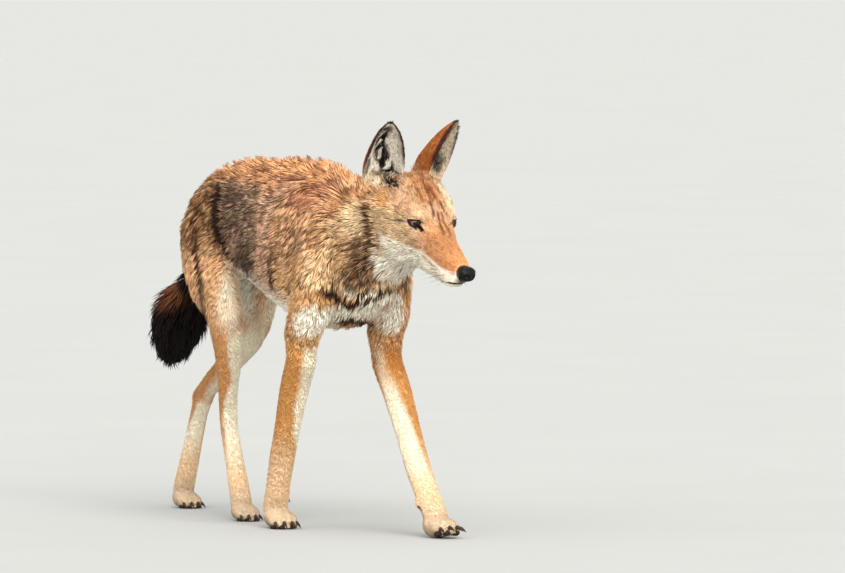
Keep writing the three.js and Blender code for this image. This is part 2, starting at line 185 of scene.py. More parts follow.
def blob(points, centre, radii, soft=0.35):
    """1 inside an ellipsoid, fading to 0 at its edge."""
    far = np.linalg.norm((points - np.asarray(centre, float)) / np.asarray(radii, float), axis=1)
    return ease(far, 1 + soft, 1 - soft)


def one_side(points):
    """Points of the head's frame, with those on its right mirrored to the left."""
    made = points.copy()
    made[:, 0] = np.abs(made[:, 0])
    return made


# %% [markdown]
# Nothing in a coat is ruled, so edges and directions also need a slow disturbance. A sum of sines of the
# place costs nothing and repeats exactly at every run.


# %% Waves
def waves(points, size, turn):
    """A smooth field between about -1 and 1 that changes over the given size in millimetres."""
    angles = points @ np.array([[0.9, 0.3, -0.4], [-0.3, 1.0, 0.5], [0.5, -0.4, 0.9]]) / size + turn
    first = np.sin(angles[:, 0] + 1.3 * np.sin(angles[:, 1]))
    return (first + np.sin(angles[:, 1] * 1.7 + angles[:, 2])) / 2


# %% [markdown]
# ## The lie of the coat
# Hair on a dog runs back from the nose, over the skull, along the spine and down the legs. Combing it by
# hand with a groom brush would not be repeatable. Here short lines laid over the body each say which way
# the hair near them points, how deep the coat is, and how long, wide and close its locks are; every point
# of the skin takes the weighted mean of the lines around it. Each row is: start, end, reach of its
# influence, depth of the coat, length of a lock, its width, and the skin area per lock in square
# millimetres.

# %% Coat lines
LEGS = {
    "fore_left": [(73, -216, 300), (78, -327, 108), (80, -388, 30), (84, -440, 10)],
    "fore_right": [(-72, -200, 302), (-63, -106, 106), (-57, -72, 30), (-60, -130, 10)],
    "hind_left": [(52, 208, 322), (22, 370, 192), (14, 432, 28), (14, 376, 10)],
    "hind_right": [(-62, 92, 338), (-38, 147, 168), (-32, 108, 28), (-35, 52, 10)],
}
TAIL = [(0, 268, 530), (-6, 318, 420), (-9, 367, 357), (-10, 402, 316), (-9, 432, 262)]


def both_sides(rows):
    """Coat lines on the left, and the same ones mirrored to the right."""
    return [
        (np.array(a, float) * (s, 1, 1), np.array(b, float) * (s, 1, 1), *rest)
        for a, b, *rest in rows
        for s in (1, -1)
    ]


head_rows = [
    ((0, -118, -24), (0, -40, -8), 17, 1.3, 4.5, 0.9, 1.9),
    ((0, -40, 0), (0, 70, 40), 28, 2.6, 8, 1.2, 2.6),
    ((0, -114, -66), (0, -60, -76), 12, 1.6, 5.5, 1.0, 2.1),
    ((0, -50, -80), (0, 60, -95), 24, 6, 17, 2.0, 5.5),
]
head_rows += both_sides(
    [
        ((13, -108, -44), (24, -45, -56), 15, 1.4, 5, 0.95, 2.0),
        ((30, -20, 12), (50, 40, 28), 16, 2.3, 7, 1.1, 2.3),
        ((26, -45, -28), (46, 20, -32), 18, 2.5, 7.5, 1.2, 2.4),
        ((48, 20, -38), (68, 90, -52), 26, 7, 15, 1.6, 3.9),
        ((20, -32, -4), (30, -6, 10), 9, 1.0, 4.5, 0.9, 1.9),
        ((36, -14, -14), (46, 6, -12), 7, 1.4, 5, 0.95, 2.0),
    ]
)
head_rows = [(from_head(a), from_head(b), *rest) for a, b, *rest in head_rows]
body_rows = [
    ((24, -400, 560), (4, -240, 575), 45, 13, 26, 2.4, 9),
    ((22, -410, 450), (5, -330, 380), 42, 13, 24, 2.2, 8.5),
    ((3, -335, 400), (0, -300, 340), 45, 9, 20, 2.4, 9),
    ((0, -300, 338), (0, -100, 345), 50, 8, 20, 2.6, 14),
    ((0, -240, 585), (0, 230, 590), 60, 11, 32, 2.9, 12),
    ((0, -100, 345), (0, 250, 405), 55, 7, 18, 2.6, 15),
    ((0, 230, 590), (0, 305, 500), 50, 11, 28, 2.8, 12),
    ((-24, -400, 510), (-74, -240, 466), 45, 14, 26, 2.4, 9),
    ((74, -400, 506), (76, -240, 466), 45, 14, 26, 2.4, 9),
] + both_sides(
    [
        ((76, -180, 500), (72, 190, 440), 55, 9, 23, 2.3, 9.5),
        ((60, -180, 540), (78, -262, 440), 42, 9, 24, 2.5, 11),
        ((88, -250, 420), (80, -205, 320), 36, 5, 14, 1.8, 7),
        ((60, -262, 372), (62, -246, 330), 24, 7, 22, 2.0, 7),
        ((50, 210, 560), (80, 200, 440), 45, 8, 22, 2.4, 11),
    ]
)
leg_rows = []
for name, (top, joint, foot, toes) in LEGS.items():
    leg_rows += [
        (top, joint, 30, 1.8, 8.5, 1.25, 3.7),
        (joint, foot, 24, 1.0, 6.5, 1.1, 3.1),
        (foot, toes, 24, 0.9, 4.5, 0.95, 2.5),
    ]
leg_rows += [
    ((74, 215, 440), (58, 215, 330), 40, 5, 15, 1.8, 7),
    ((-86, 150, 440), (-70, 105, 345), 40, 5, 15, 1.8, 7),
]
tail_rows = [
    (TAIL[0], TAIL[1], 26, 7, 26, 2.6, 10),
    (TAIL[1], TAIL[2], 34, 14, 46, 3.0, 12),
    (TAIL[2], TAIL[3], 42, 22, 60, 3.2, 12),
    (TAIL[3], TAIL[4], 38, 9, 30, 2.8, 10),
]
EAR_ROOT = {1: np.array([52.0, 90.0, 18.0]), -1: np.array([-47.0, 90.0, 18.0])}
EAR_TURN = {  # the left ear is turned further out than the right one
    side: np.array(
        Matrix.Rotation(math.radians(side * splay), 3, "Y")
        @ Matrix.Rotation(math.radians(-2), 3, "X")
        @ Matrix.Rotation(math.radians(side * turn), 3, "Z")
    )
    for side, splay, turn in ((1, 7.5, 29), (-1, 10, 17))
}
EAR_SPREAD = {1: 1.1, -1: 1.0}


def to_ear(head_points, side):
    """The head's points in an ear's own frame: x across, y behind the opening, z from root to tip."""
    return (head_points - EAR_ROOT[side]) @ EAR_TURN[side]


def from_ear(points, side):
    """Points of an ear's own frame, in the head's frame."""
    return np.asarray(points, float) @ EAR_TURN[side].T + EAR_ROOT[side]


def ear_side(e, normals, side):
    """For points of an ear's frame: how much the skin faces into the cup, from -1 behind the ear to 1
    inside it, and how many millimetres they lie from the rim."""
    heights = [-16, 0, 22, 46, 72, 92, 108, 117]
    half = np.interp(e[:, 2], heights, [24, 32, 35, 34, 28.5, 22, 13, 5]) * EAR_SPREAD[side]
    deep = np.interp(e[:, 2], heights, [20, 24, 32, 32, 24.5, 17, 8.3, 3]) * EAR_SPREAD[side]
    x = e[:, 0] - side * np.interp(e[:, 2], [0, 22, 72], [3, 2, 0])
    away = np.stack([x / half**2, np.maximum(e[:, 1], 0) / deep**2], 1)
    away /= np.maximum(np.linalg.norm(away, axis=1), 1e-9)[:, None]
    facing = -np.sum(away * normals[:, :2], axis=1)
    front = ease(e[:, 1], 8, 2) * ease(half - np.abs(x), 2, 8)
    return facing + (np.where(normals[:, 1] < 0, 1.0, -1.0) - facing) * front, half - np.abs(x)


ear_rows = []
for side in (1, -1):
    for x, y in ((-26, 4), (26, 4), (0, 34)):
        ends = from_head(from_ear([(x, y, 18), (x * 0.2, y * 0.2, 118)], side))
        ear_rows.append((ends[0], ends[1], 15, 0.9, 6, 1.2, 2.4))
    ends = from_head([(side * 44, 52, 12), (side * 52, 84, 28)])
    ear_rows.append((ends[0], ends[1], 17, 2.0, 8, 1.3, 2.6))
ROWS = head_rows + body_rows + leg_rows + tail_rows + ear_rows
# An ear is a thin sheet, so the lines of its walls outweigh those of the head behind it.
EAR_PULL = np.array([6.0, 6.0, 6.0, 1.0] * 2)
AREAS = ["face"] * len(head_rows) + ["neck"] * 3 + ["trunk"] * 4 + ["neck"] * 2 + ["trunk"] * 10
AREAS += [name for name in LEGS for _ in range(3)] + ["hind_left", "hind_right"]
AREAS += ["tail"] * 4 + ["ears"] * 8
print(len(ROWS), "coat lines in", len(set(AREAS)), "areas")


# %% Reading the coat lines at any point
def coat_at(points, normals=None):
    """The coat's depth, lock length, lock width and area per lock at points of the drawing frame; with
    normals, also the direction in which the hair lies there, along the skin."""
    weights, facts, ways = [], [], []
    for start, end, reach, *row in ROWS:
        far, _ = line_distance(points, start, end)
        weights.append(np.exp(-((far / reach) ** 2)) + 1e-30 / (1 + far))
        facts.append(row)
        way = np.asarray(end, float) - np.asarray(start, float)
        ways.append(way / np.linalg.norm(way))
    weights = np.array(weights)
    weights[-8:] *= EAR_PULL[:, None]
    weights /= weights.sum(0)
    found = weights.T @ np.array(facts)
    if normals is None:
        return found
    area = np.array(AREAS)[weights.argmax(0)]
    way = weights.T @ np.array(ways)
    trunk = ease(points[:, 1], -420, -330) * ease(points[:, 2], 330, 380)
    way[:, 2] -= 0.42 * trunk * (1 - np.abs(normals[:, 2]))
    way -= normals * np.sum(way * normals, axis=1)[:, None]
    return found, way / np.maximum(np.linalg.norm(way, axis=1), 1e-9)[:, None], area


# %% [markdown]
# ## One skin
# On the real animal one skin runs from lips to tail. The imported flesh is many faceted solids, so the skin
# is made from them by a voxel remesh, which melts overlapping solids into one even surface. Retopology by
# hand would give nicer edge flow, but nothing here bends, so even quads are enough. The steps are: copy
# the flesh, puff each copy by a hair so that the cuts close, fill the eye sockets with balls for the lids
# to lie on, remesh, smooth the facets away where the body is broad, and sink the surface by the depth of
# the coat.

# %% Copy the flesh
FLESH = [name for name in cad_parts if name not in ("nose_pad", "eye_left", "eye_right")]
PUFF = 0.0006  # in metres, enough to close the cuts between the nodes
SKIN_VOXEL, NOSE_VOXEL = 0.0018, 0.0006


def flesh_copy():
    """All flesh nodes as one mesh, each merged, puffed and joined."""
    made = bmesh.new()
    for name in FLESH:
        one = bmesh.new()
        one.from_mesh(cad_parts[name].data)
        bmesh.ops.remove_doubles(one, verts=one.verts, dist=1e-6)
        one.normal_update()
        moved = [v.co + v.normal * PUFF for v in one.verts]
        for v, place in zip(one.verts, moved):
            v.co = place
        mesh = bpy.data.meshes.new(name + "_copy")
        one.to_mesh(mesh)
        one.free()
        made.from_mesh(mesh)
        bpy.data.meshes.remove(mesh)
    for centre in EYE.values():
        place = Matrix.Translation(Vector(to_room(from_head(centre))))
        bmesh.ops.create_icosphere(made, subdivisions=3, radius=(EYE_RADIUS + 0.8) * MM, matrix=place)
    mesh = bpy.data.meshes.new("skin")
    made.to_mesh(mesh)
    made.free()
    return mesh


skin = stand("skin", flesh_copy())
print(len(FLESH), "flesh nodes give", len(skin.data.polygons), "faces")

# %% [markdown]
# A modifier is applied here by asking for the evaluated mesh and keeping it. That is the scripted twin of
# the Apply button, and it needs no selection or mode.


# %% Applying modifiers
def settle(thing):
    """Replaces an object's mesh by what its modifiers make of it."""
    evaluated = thing.evaluated_get(bpy.context.evaluated_depsgraph_get())
    made = bpy.data.meshes.new_from_object(evaluated)
    thing.modifiers.clear()
    old, thing.data = thing.data, made
    bpy.data.meshes.remove(old)


def melt(thing, size):
    """Adds a voxel remesh, which makes one even surface of all that overlaps."""
    remesh = thing.modifiers.new("melt", "REMESH")
    remesh.mode, remesh.voxel_size = "VOXEL", size


def soften(thing, rounds, group=""):
    """Adds rounds of smoothing, as strong as a vertex group says."""
    smooth = thing.modifiers.new("soften", "SMOOTH")
    smooth.factor, smooth.iterations, smooth.vertex_group = 0.5, rounds, group


def places(mesh):
    """The places of a mesh's points."""
    flat = np.empty(len(mesh.vertices) * 3, np.float32)
    mesh.vertices.foreach_get("co", flat)
    return flat.reshape(-1, 3).astype(float)


def put(mesh, points):
    """Moves a mesh's points to new places."""
    mesh.vertices.foreach_set("co", np.asarray(points, np.float32).ravel())
    mesh.update()


def outward(mesh):
    """The normals at a mesh's points."""
    flat = np.empty(len(mesh.vertices) * 3, np.float32)
    mesh.vertex_normals.foreach_get("vector", flat)
    return flat.reshape(-1, 3).astype(float)


def weigh(thing, name, weights):
    """A vertex group from an array of weights, in 32 steps."""
    group = thing.vertex_groups.new(name=name)
    steps = np.round(np.clip(weights, 0, 1) * 32).astype(int)
    for step in range(1, 33):
        members = np.flatnonzero(steps == step)
        if len(members):
            group.add(members.tolist(), step / 32, "REPLACE")
    return name


melt(skin, SKIN_VOXEL)
settle(skin)


def keep_outer(mesh):
    """Deletes every shell but the one with the most points, such as a small void left inside."""
    made = bmesh.new()
    made.from_mesh(mesh)
    left, shells = set(made.verts), []
    while left:
        shell, front = set(), [left.pop()]
        while front:
            v = front.pop()
            shell.add(v)
            for e in v.link_edges:
                w = e.other_vert(v)
                if w in left:
                    left.discard(w)
                    front.append(w)
        shells.append(shell)
    shells.sort(key=len)
    bmesh.ops.delete(made, geom=[v for shell in shells[:-1] for v in shell], context="VERTS")
    made.to_mesh(mesh)
    made.free()
    return len(shells) - 1


print(
    "melted skin:", len(skin.data.vertices), "points, with", keep_outer(skin.data), "inner shells taken out"
)

# %% [markdown]
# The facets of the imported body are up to 40 mm long on the back and only a few on an ear. One smoothing
# strength would either leave the back faceted or dissolve the ears, so two vertex groups steer it: "broad"
# for the trunk, neck and thighs, "fine" for the rest.

# %% Smooth and sink
points = to_drawing(places(skin.data))
head_points = to_head(points)
in_ear = {
    side: ease(to_ear(head_points, side)[:, 2], 14, 26)
    * blob(to_ear(head_points, side), (0, 15, 60), (44, 50, 70))
    for side in (1, -1)
}
ears = np.maximum(in_ear[1], in_ear[-1])
near_head = ease(np.linalg.norm(head_points / (95, 150, 95), axis=1), 1.1, 0.75)
broad = ease(points[:, 2], 240, 330) * (1 - near_head) * (1 - ears)
tail_share = tube(points, TAIL, 60, 0.3)
broad = np.clip(np.maximum(broad, tail_share * 0.7), 0, 1)
for label, strength, rounds in (("broad", broad, 130), ("fine", np.clip(1 - ears * 0.75, 0, 1), 14)):
    soften(skin, rounds, weigh(skin, label, strength))
settle(skin)

SINK_STEPS = 4
for turn in range(SINK_STEPS):
    points = places(skin.data)
    depth = coat_at(to_drawing(points))[:, 0] * MM
    put(skin.data, points - outward(skin.data) * (depth / SINK_STEPS)[:, None])
    if turn % 2:
        soften(skin, 2)
        settle(skin)
print("the skin lies", np.round([depth.min() / MM, depth.max() / MM], 1), "mm inside the coat's tips")

# %% [markdown]
# ## Folds, lids and lips
# The head gets the most care. Its skin could be sculpted by brush, but a brush stroke can't be written
# down, so each fold is a named bump, groove or lid with a place in the head's frame, the same on both
# sides. The faces round the eyes are divided first, because a lid's edge is under a millimetre wide.

# %% Finer skin round the eyes
GAZE = {side: np.array([side * 0.38, -0.90, 0.16]) / np.linalg.norm([0.38, 0.90, 0.16]) for side in (1, -1)}


def divide_near(thing, centre, reach):
    """Splits the faces within reach of a point into four."""
    made = bmesh.new()
    made.from_mesh(thing.data)
    near = {v for v in made.verts if (v.co - centre).length < reach}
    edges = [e for e in made.edges if e.verts[0] in near and e.verts[1] in near]
    bmesh.ops.subdivide_edges(made, edges=edges, cuts=1, use_grid_fill=True)
    made.to_mesh(thing.data)
    made.free()


for reach in (0.022, 0.016):
    for side in (1, -1):
        divide_near(skin, Vector(to_room(from_head(EYE[side]))), reach)
print("with finer eyes:", len(skin.data.vertices), "points")

# %% Bumps, grooves and the line of the mouth
BUMPS = [  # centre, radii, height; each is made on both sides of the head
    ((30, -6, 19), (13, 11, 7), 2.4),  # the brow over the eye
    ((49, 12, -16), (11, 26, 9), 2.0),  # the cheekbone
    ((24, -34, -15), (9, 17, 9), -1.6),  # the hollow before the eye
    ((24, -18, 7), (8, 11, 7), -3.6),  # the deeper hollow at the eye's inner corner
    ((25, -9, 6), (7.5, 9, 8), -5.0),
    ((15, -22, 8), (9, 10, 9), -6.0),
    ((8, -101, -63), (9, 20, 5), 1.8),  # the lower lip
    ((15, -90, -46), (10, 22, 9), 1.6),  # the whisker pad
    ((0, -24, 13), (9, 16, 9), -1.6),  # the stop
    ((40, -4, -19), (12, 10, 5), 1.2),  # the soft fold under the lower lid
    ((12, 40, 40), (9, 34, 9), 1.2),  # the jaw muscle's top, beside the furrow of the brow
]
MOUTH = [
    (0, -117, -50), (7, -111, -52), (11.5, -98, -55.5), (14.5, -77, -60.5), (18, -54, -62.5),
    (22, -40, -61.5), (26, -24, -58),
]
GROOVES = [  # path, half width, depth
    (MOUTH, 1.7, 2.6),
    ([(0, -124, -44), (0, -118, -50)], 1.0, 1.2),
    ([(0, -4, 26), (0, 22, 34), (0, 60, 38)], 3.0, 0.9),
    ([(5, -16, 18), (2, -34, 9), (1, -46, 3)], 1.8, 0.8),
    ([(40, 30, 2), (52, 34, -8), (60, 40, -22)], 3.0, 0.7),
]


def shape_folds(points):
    """How far each point of the head's frame is pushed along its normal."""
    push = np.zeros(len(points))
    mirrored = one_side(points)
    for centre, radii, height in BUMPS:
        far = np.linalg.norm((mirrored - centre) / radii, axis=1)
        push += height * np.exp(-(far**2))
    for path, half, deep in GROOVES:
        least = on_path(mirrored, path)[0]
        push += (
            -deep * np.exp(-((least / half) ** 2))
            + 0.3 * deep * np.exp(-(((least - 2.4 * half) / half) ** 2))
        )
    return push * ease(points[:, 1], 110, 70)


# %% [markdown]
# A lid is skin that lies on the eyeball. Seen from the ball's centre, the opening is an almond: it is
# narrow at the corners, and its outer corner stands higher. Outside the almond the skin is lifted to just
# over the ball's radius, and inside it the skin dips behind the ball, so the ball itself fills the
# opening.

# %% Lids
LID = {"half_width": 1.28, "upper": 0.38, "lower": 0.38, "tilt": 0.08, "thick": 1.6}


def lid_gap(points, side):
    """Millimetres from the edge of the lids, negative inside the opening, and the distance from the
    eyeball's centre, for points of the head's frame."""
    gaze = GAZE[side]
    sideways = np.cross((0, 0, side), gaze)
    sideways /= np.linalg.norm(sideways)
    over = np.cross(gaze, sideways) * side
    offset = points - EYE[side]
    far = np.linalg.norm(offset, axis=1)
    unit = offset / np.maximum(far, 1e-6)[:, None]
    across = np.arctan2(unit @ sideways, unit @ gaze)
    rise = np.arcsin(np.clip(unit @ over, -1, 1)) - LID["tilt"] * across
    half = np.where(rise > 0, LID["upper"], LID["lower"]) * (1 - (across / LID["half_width"]) ** 2)
    gap = np.abs(rise) - half
    gap = np.where(
        np.abs(across) > LID["half_width"], np.maximum(gap, np.abs(across) - LID["half_width"]), gap
    )
    return gap * EYE_RADIUS, far


def lay_lids(points):
    """Moves the head's points so that the skin lies on each eyeball as its lids do."""
    made = points.copy()
    for side in (1, -1):
        gap, far = lid_gap(points, side)
        lid = np.interp(
            gap, [-2.2, -0.5, 0.25, 1.6, 5],
            [7.5, 9.6, 11.0, EYE_RADIUS + LID["thick"], EYE_RADIUS + LID["thick"] + 0.3],
        )
        share = ease(gap, 9, 1.5) * ease(far, 26, 19)
        wanted = np.where(gap > 1.6, np.maximum(far, lid), lid)
        radius = far + share * (wanted - far)
        made = np.where(
            (share > 0)[:, None],
            EYE[side] + (points - EYE[side]) * (radius / np.maximum(far, 1e-6))[:, None], made,
        )
    return made


def open_ears(points, normals):
    """Hollows the foot of each ear, where its cup runs down into the head."""
    made = points.copy()
    for side in (1, -1):
        e, facing = to_ear(points, side), (normals @ EAR_TURN[side])[:, 1]
        x = e[:, 0] - side * 1
        bowl = (
            np.clip(1 - (x / 28) ** 2, 0, 1) * ease(e[:, 2], -12, 4) * ease(e[:, 2], 50, 24)
            * ease(e[:, 1], -26, -16)
        )
        bowl *= ease(facing, 0.35, -0.15) * ease(e[:, 1], 24, 12)
        made += (bowl * 19)[:, None] * EAR_TURN[side][:, 1]
    return made


points = to_head(to_drawing(places(skin.data)))
normals = outward(skin.data) @ HEAD_TURN
near = np.linalg.norm(points / (110, 150, 100), axis=1) < 1.6
folded = points[near] + normals[near] * shape_folds(points[near])[:, None]
points[near] = open_ears(lay_lids(folded), normals[near])
put(skin.data, to_room(from_head(points)))
print("folded", int(near.sum()), "points of the head")

# %% [markdown]
# The skin now has some 300,000 faces, mostly where nothing happens. Decimate collapses the flat ones
# first. A vertex group holds it back on the head and ears, and it asks for few enough faces to keep the
# piece light.

# %% Thin the skin
SKIN_TRIANGLES = 165000
points = to_drawing(places(skin.data))
head_points = to_head(points)
face = ease(np.linalg.norm(head_points / (75, 130, 85), axis=1), 1.15, 0.8)
eyes_near = np.max([blob(head_points, EYE[side], (20, 20, 18)) for side in (1, -1)], axis=0)
keep = np.maximum(face * 0.55, eyes_near)
thin = skin.modifiers.new("thin", "DECIMATE")
thin.ratio = SKIN_TRIANGLES / (2 * len(skin.data.polygons))
thin.vertex_group = weigh(skin, "keep", 1 - keep * 0.9)
thin.vertex_group_factor = 1.0
settle(skin)
print("thinned skin:", len(skin.data.polygons), "faces")

# %% [markdown]
# ## Markings
# An Ethiopian wolf is rufous above, with a grizzled grey-brown flank, a white throat, chest and belly,
# legs that are tan outside and white inside, and a black brush. Skin and coat must carry the same
# markings, so one function paints both: it starts from one colour and lays soft strokes over it, as an
# airbrush would. Each stroke sets the colour and two shares: how many locks are dark-tipped there, and how
# many are pale. In the painting functions p are points of the drawing frame and n their normals. The same
# points are h in the head's frame, m when both sides of the head are taken as one, e in an ear's frame,
# and q on the plane that quarter() describes.


# %% Paints
def paint(code):
    """A colour written as six hex digits, in linear light."""
    value = np.array([int(code[i : i + 2], 16) / 255 for i in (0, 2, 4)])
    return np.where(value <= 0.04045, value / 12.92, ((value + 0.055) / 1.055) ** 2.4)


RUFOUS, ORANGE, CREAM, WHITE = paint("d79868"), paint("c88c5c"), paint("eedfc6"), paint("f5ead6")
OCHRE, UMBER, SOOT, GREY = paint("d9a264"), paint("5f3c28"), paint("120b09"), paint("977961")
RUST, PALE = paint("96512c"), paint("e4c3a0")


class Canvas:
    """The colour, dark share and pale share of many points, to be painted stroke by stroke."""

    def __init__(self, count):
        self.colour = np.tile(RUFOUS, (count, 1))
        self.dark = np.full(count, 0.38)
        self.pale = np.full(count, 0.3)

    def stroke(self, mask, colour, dark, pale):
        self.colour += (colour - self.colour) * mask[:, None]
        self.dark += (dark - self.dark) * mask
        self.pale += (pale - self.pale) * mask


# %% Trunk, chest and neck
VIEW = np.array([-0.454, -0.890, 0.044])  # towards a viewer at the wolf's front right


def quarter(p, both=False):
    """Millimetres across (x) and up (z) on a plane that faces the front right, where these markings are
    broad shapes. With both, the left side of the body shows the right side's, mirrored."""
    x = -np.abs(p[:, 0]) if both else p[:, 0]
    return np.stack([0.891 * x - 0.454 * p[:, 1], 0 * x, p[:, 2] + 0.02 * x + 0.039 * p[:, 1]], 1)


def band(q, path, reach, soft=0.5):
    """A soft band along a path on the plane of quarter()."""
    return tube(q, [(a, 0, b) for a, b in path], reach, soft)


def patch(q, a, b, wide, high, soft=0.5):
    """A soft patch on the plane of quarter(), with its middle at a across and b up."""
    return blob(q, (a, 0, b), (wide, 1, high), soft)


def paint_body(canvas, p, n):
    x, y, z = p.T
    wide, q = np.abs(x), quarter(p, True)
    # the left thigh is further back
    q[:, 0] += np.where(x > 0, 45, 0) * ease(z, 540, 420) * ease(y, 40, 120)
    canvas.stroke(ease(z, 575, 530), paint("d6a88a"), 0.42, 0.38)
    canvas.stroke(ease(y, -60, -110) * ease(z, 590, 550), paint("e0b391"), 0.44, 0.38)
    rear = ease(y, -60, -20) * ease(z, 585, 545)
    canvas.stroke(rear * ease(y, 250, 140), GREY * 1.12, 0.42, 0.36)
    canvas.stroke(rear * patch(q, -40, 452, 20, 62), paint("cfac88"), 0.24, 0.45)
    canvas.stroke(rear * patch(q, -72, 436, 18, 34), paint("6b5342"), 0.55, 0.15)
    canvas.stroke(rear * patch(q, -100, 520, 26, 44), paint("806450"), 0.5, 0.25)
    canvas.stroke(ease(y, 112, 138) * ease(z, 585, 545), paint("9b714b"), 0.45, 0.32)
    thigh = ease(z, 470, 410) * ease(y, 62, 92) * ease(wide, 10, 40)
    canvas.stroke(thigh, paint("e6b586"), 0.12, 0.3)
    canvas.stroke(
        ease(y, 40, 70) * ease(z, 455, 425) * patch(q, -98, 360, 18, 62, 0.45), paint("f6e3c6"), 0.02, 0.4
    )
    # dark strokes along the fold where the flank meets the thigh: painted shade in the crease
    canvas.stroke(
        ease(y, 40, 70) * band(q, [(-118, 562), (-123, 529), (-123, 496), (-114, 471)], 6.5, 0.5)
        * ease(wide, 25, 45),
        UMBER * 0.45, 0.95, 0.0,
    )
    canvas.stroke(
        ease(y, 40, 70) * band(q, [(-114, 471), (-103, 448), (-81, 424)], 3.5) * ease(wide, 25, 45),
        UMBER * 0.7, 0.8, 0.0,
    )
    canvas.stroke(
        band(q, [(-108, 437), (-86, 409), (-61, 385), (-31, 360), (-8, 336)], 11, 0.6) * ease(y, -130, -90)
        * ease(y, 120, 80),
        paint("ecd0a4"), 0.05, 0.4,
    )
    # a dark line behind the elbow, where the foreleg meets the flank: painted shade in the crease
    canvas.stroke(
        band(q, [(-25, 470), (-27, 430), (-25, 385)], 3.2) * ease(y, -160, -140), UMBER * 0.5, 0.9, 0.0
    )
    fore = ease(y, -92, -128)
    canvas.stroke(fore * ease(z, 560, 520), paint("d3a06c"), 0.3, 0.3)
    canvas.stroke(fore * patch(q, 14, 474, 44, 62, 0.5), paint("e6b184"), 0.6, 0.26)
    canvas.stroke(fore * patch(q, 18, 400, 50, 36, 0.5), paint("e0b07c"), 0.22, 0.35)
    canvas.stroke(fore * patch(q, 50, 540, 50, 30, 0.5), paint("bf7f5a"), 0.42, 0.36)
    under = ease(n[:, 2], -0.25, -0.6) * ease(y, -285, -255) * ease(z, 440, 400)
    canvas.stroke(under, WHITE, 0.02, 0.4)
    canvas.stroke(ease(z, 412, 385) * ease(wide, 46, 22) * ease(y, 60, 110), WHITE, 0.02, 0.4)
    behind = y - np.where(x > 0, 45, 0) * ease(z, 540, 420)
    canvas.stroke(ease(behind, 235, 275), paint("875c3c"), 0.45, 0.25)
    # a dark line along the thigh's rear edge, where it meets the rump: painted shade in the fold
    canvas.stroke(
        ease(y, 100, 150) * band(q, [(-158, 520), (-160, 470), (-148, 400), (-138, 340)], 4.5)
        * ease(wide, 20, 40),
        UMBER, 0.7, 0.05,
    )


def paint_chest(canvas, p, n):
    _, y, z = p.T
    q, front = quarter(p), ease(y, -205, -232) * ease(n @ VIEW, -0.1, 0.2)
    canvas.stroke(front * ease(z, 470, 430) * ease(z, 290, 315), paint("d3a06a"), 0.3, 0.3)
    for mask, colour, dark, pale in (
        # the ruff: its own darker coat, painted darker still as painted shadow under the head
        (patch(q, 117, 424, 30, 44), paint("785338"), 0.64, 0.26),
        (patch(q, 88, 446, 20, 36), paint("c99f6f"), 0.35, 0.35),
        (patch(q, 68, 392, 16, 20), UMBER, 0.6, 0.1),
        (
            np.maximum(patch(q, 42, 334, 30, 25, 0.3), band(q, [(55, 336), (92, 348)], 15, 0.4)),
            WHITE, 0.02, 0.3,
        ),
        (
            np.maximum(
                patch(q, 172, 345, 25, 32, 0.3), band(q, [(114, 348), (146, 352), (182, 372)], 12, 0.4)
            ),
            WHITE, 0.02, 0.3,
        ),
        (band(q, [(90, 333), (118, 335), (143, 328)], 4), UMBER, 0.7, 0.1),
        (
            band(q, [(89, 399), (98, 384), (111, 375), (131, 375), (154, 388), (178, 405)], 6, 0.4),
            CREAM, 0.1, 0.5,
        ),
        (
            band(q, [(76, 390), (84, 371), (104, 360), (129, 364), (154, 375), (181, 391)], 4.5, 0.4),
            UMBER * 0.55, 0.9, 0.0,
        ),
        (band(q, [(124, 380), (146, 393), (168, 410), (190, 426)], 4.5, 0.4), SOOT * 1.5, 0.9, 0.0),
        (patch(q, 73, 383, 9, 10, 0.4), SOOT * 1.5, 0.9, 0.0),
    ):
        canvas.stroke(front * mask, colour, dark, pale)


def paint_neck(canvas, p, n):
    x, y, z = p.T
    h, q = to_head(p), quarter(p)
    mirrored = quarter(p * (-1, 1, 1) + (28, 0, 0))  # the neck's own middle stands 14 mm to the left
    along = ease(y, -225, -262) * ease(z, 392, 404)
    canvas.stroke(along, paint("e6bf90"), 0.3, 0.45)
    canvas.stroke(along * ease(n[:, 2], 0.15, 0.6), paint("c48a5c"), 0.42, 0.32)
    right_side = ease(x, 40, 0)[:, None]
    q = q * right_side + mirrored * (1 - right_side)
    canvas.stroke(along * patch(q, 108, 498, 20, 36), paint("efcfa2"), 0.12, 0.4)
    # the ruff: its own darker coat, painted darker still as painted shadow under the head
    canvas.stroke(along * patch(q, 117, 424, 32, 46), paint("785338"), 0.64, 0.26)
    canvas.stroke(along * patch(q, 88, 446, 18, 36), paint("cda474"), 0.3, 0.4)
    canvas.stroke(along * band(q, [(128, 522), (136, 491), (140, 461)], 5), UMBER, 0.65, 0.1)
    throat = blob(h, (0, 40, -98), (52, 56, 54), 0.16)
    canvas.stroke(throat, WHITE, 0.03, 0.3)


def paint_tail(canvas, p, n):
    near_tail = tube(p, TAIL, 62, 0.2) * ease(p[:, 1] + (p[:, 2] - 400) * 0.35, 300, 318)
    canvas.stroke(near_tail * ease(p[:, 2], 520, 470), paint("a8683a"), 0.45, 0.1)
    canvas.stroke(near_tail * ease(p[:, 2], 458, 428), SOOT, 0.75, 0.0)
    canvas.stroke(near_tail * blob(p, (-42, 372, 362), (28, 34, 20), 0.6), paint("7a4a30"), 0.45, 0.0)


print("paints for the body are mixed")


# %% Legs
INNER_WHITE = {  # by height above the floor: how far inward and forward the skin has to face to be white
    "fore_left": ([60, 117, 150, 182, 240, 272], [-0.8, 0.0, 0.25, 0.42, 0.8, 0.95]),
    "fore_right": ([100, 150, 165, 211, 294], [1.6, 0.8, 0.4, 0.2, 0.15]),
    "hind_left": ([110, 158, 192, 225, 300], [-1.0, 0.3, 0.6, 0.45, 0.2]),
    "hind_right": ([101, 151, 201, 234, 267, 300], [-0.9, -0.6, -0.5, 0.3, 0.1, -0.1]),
}


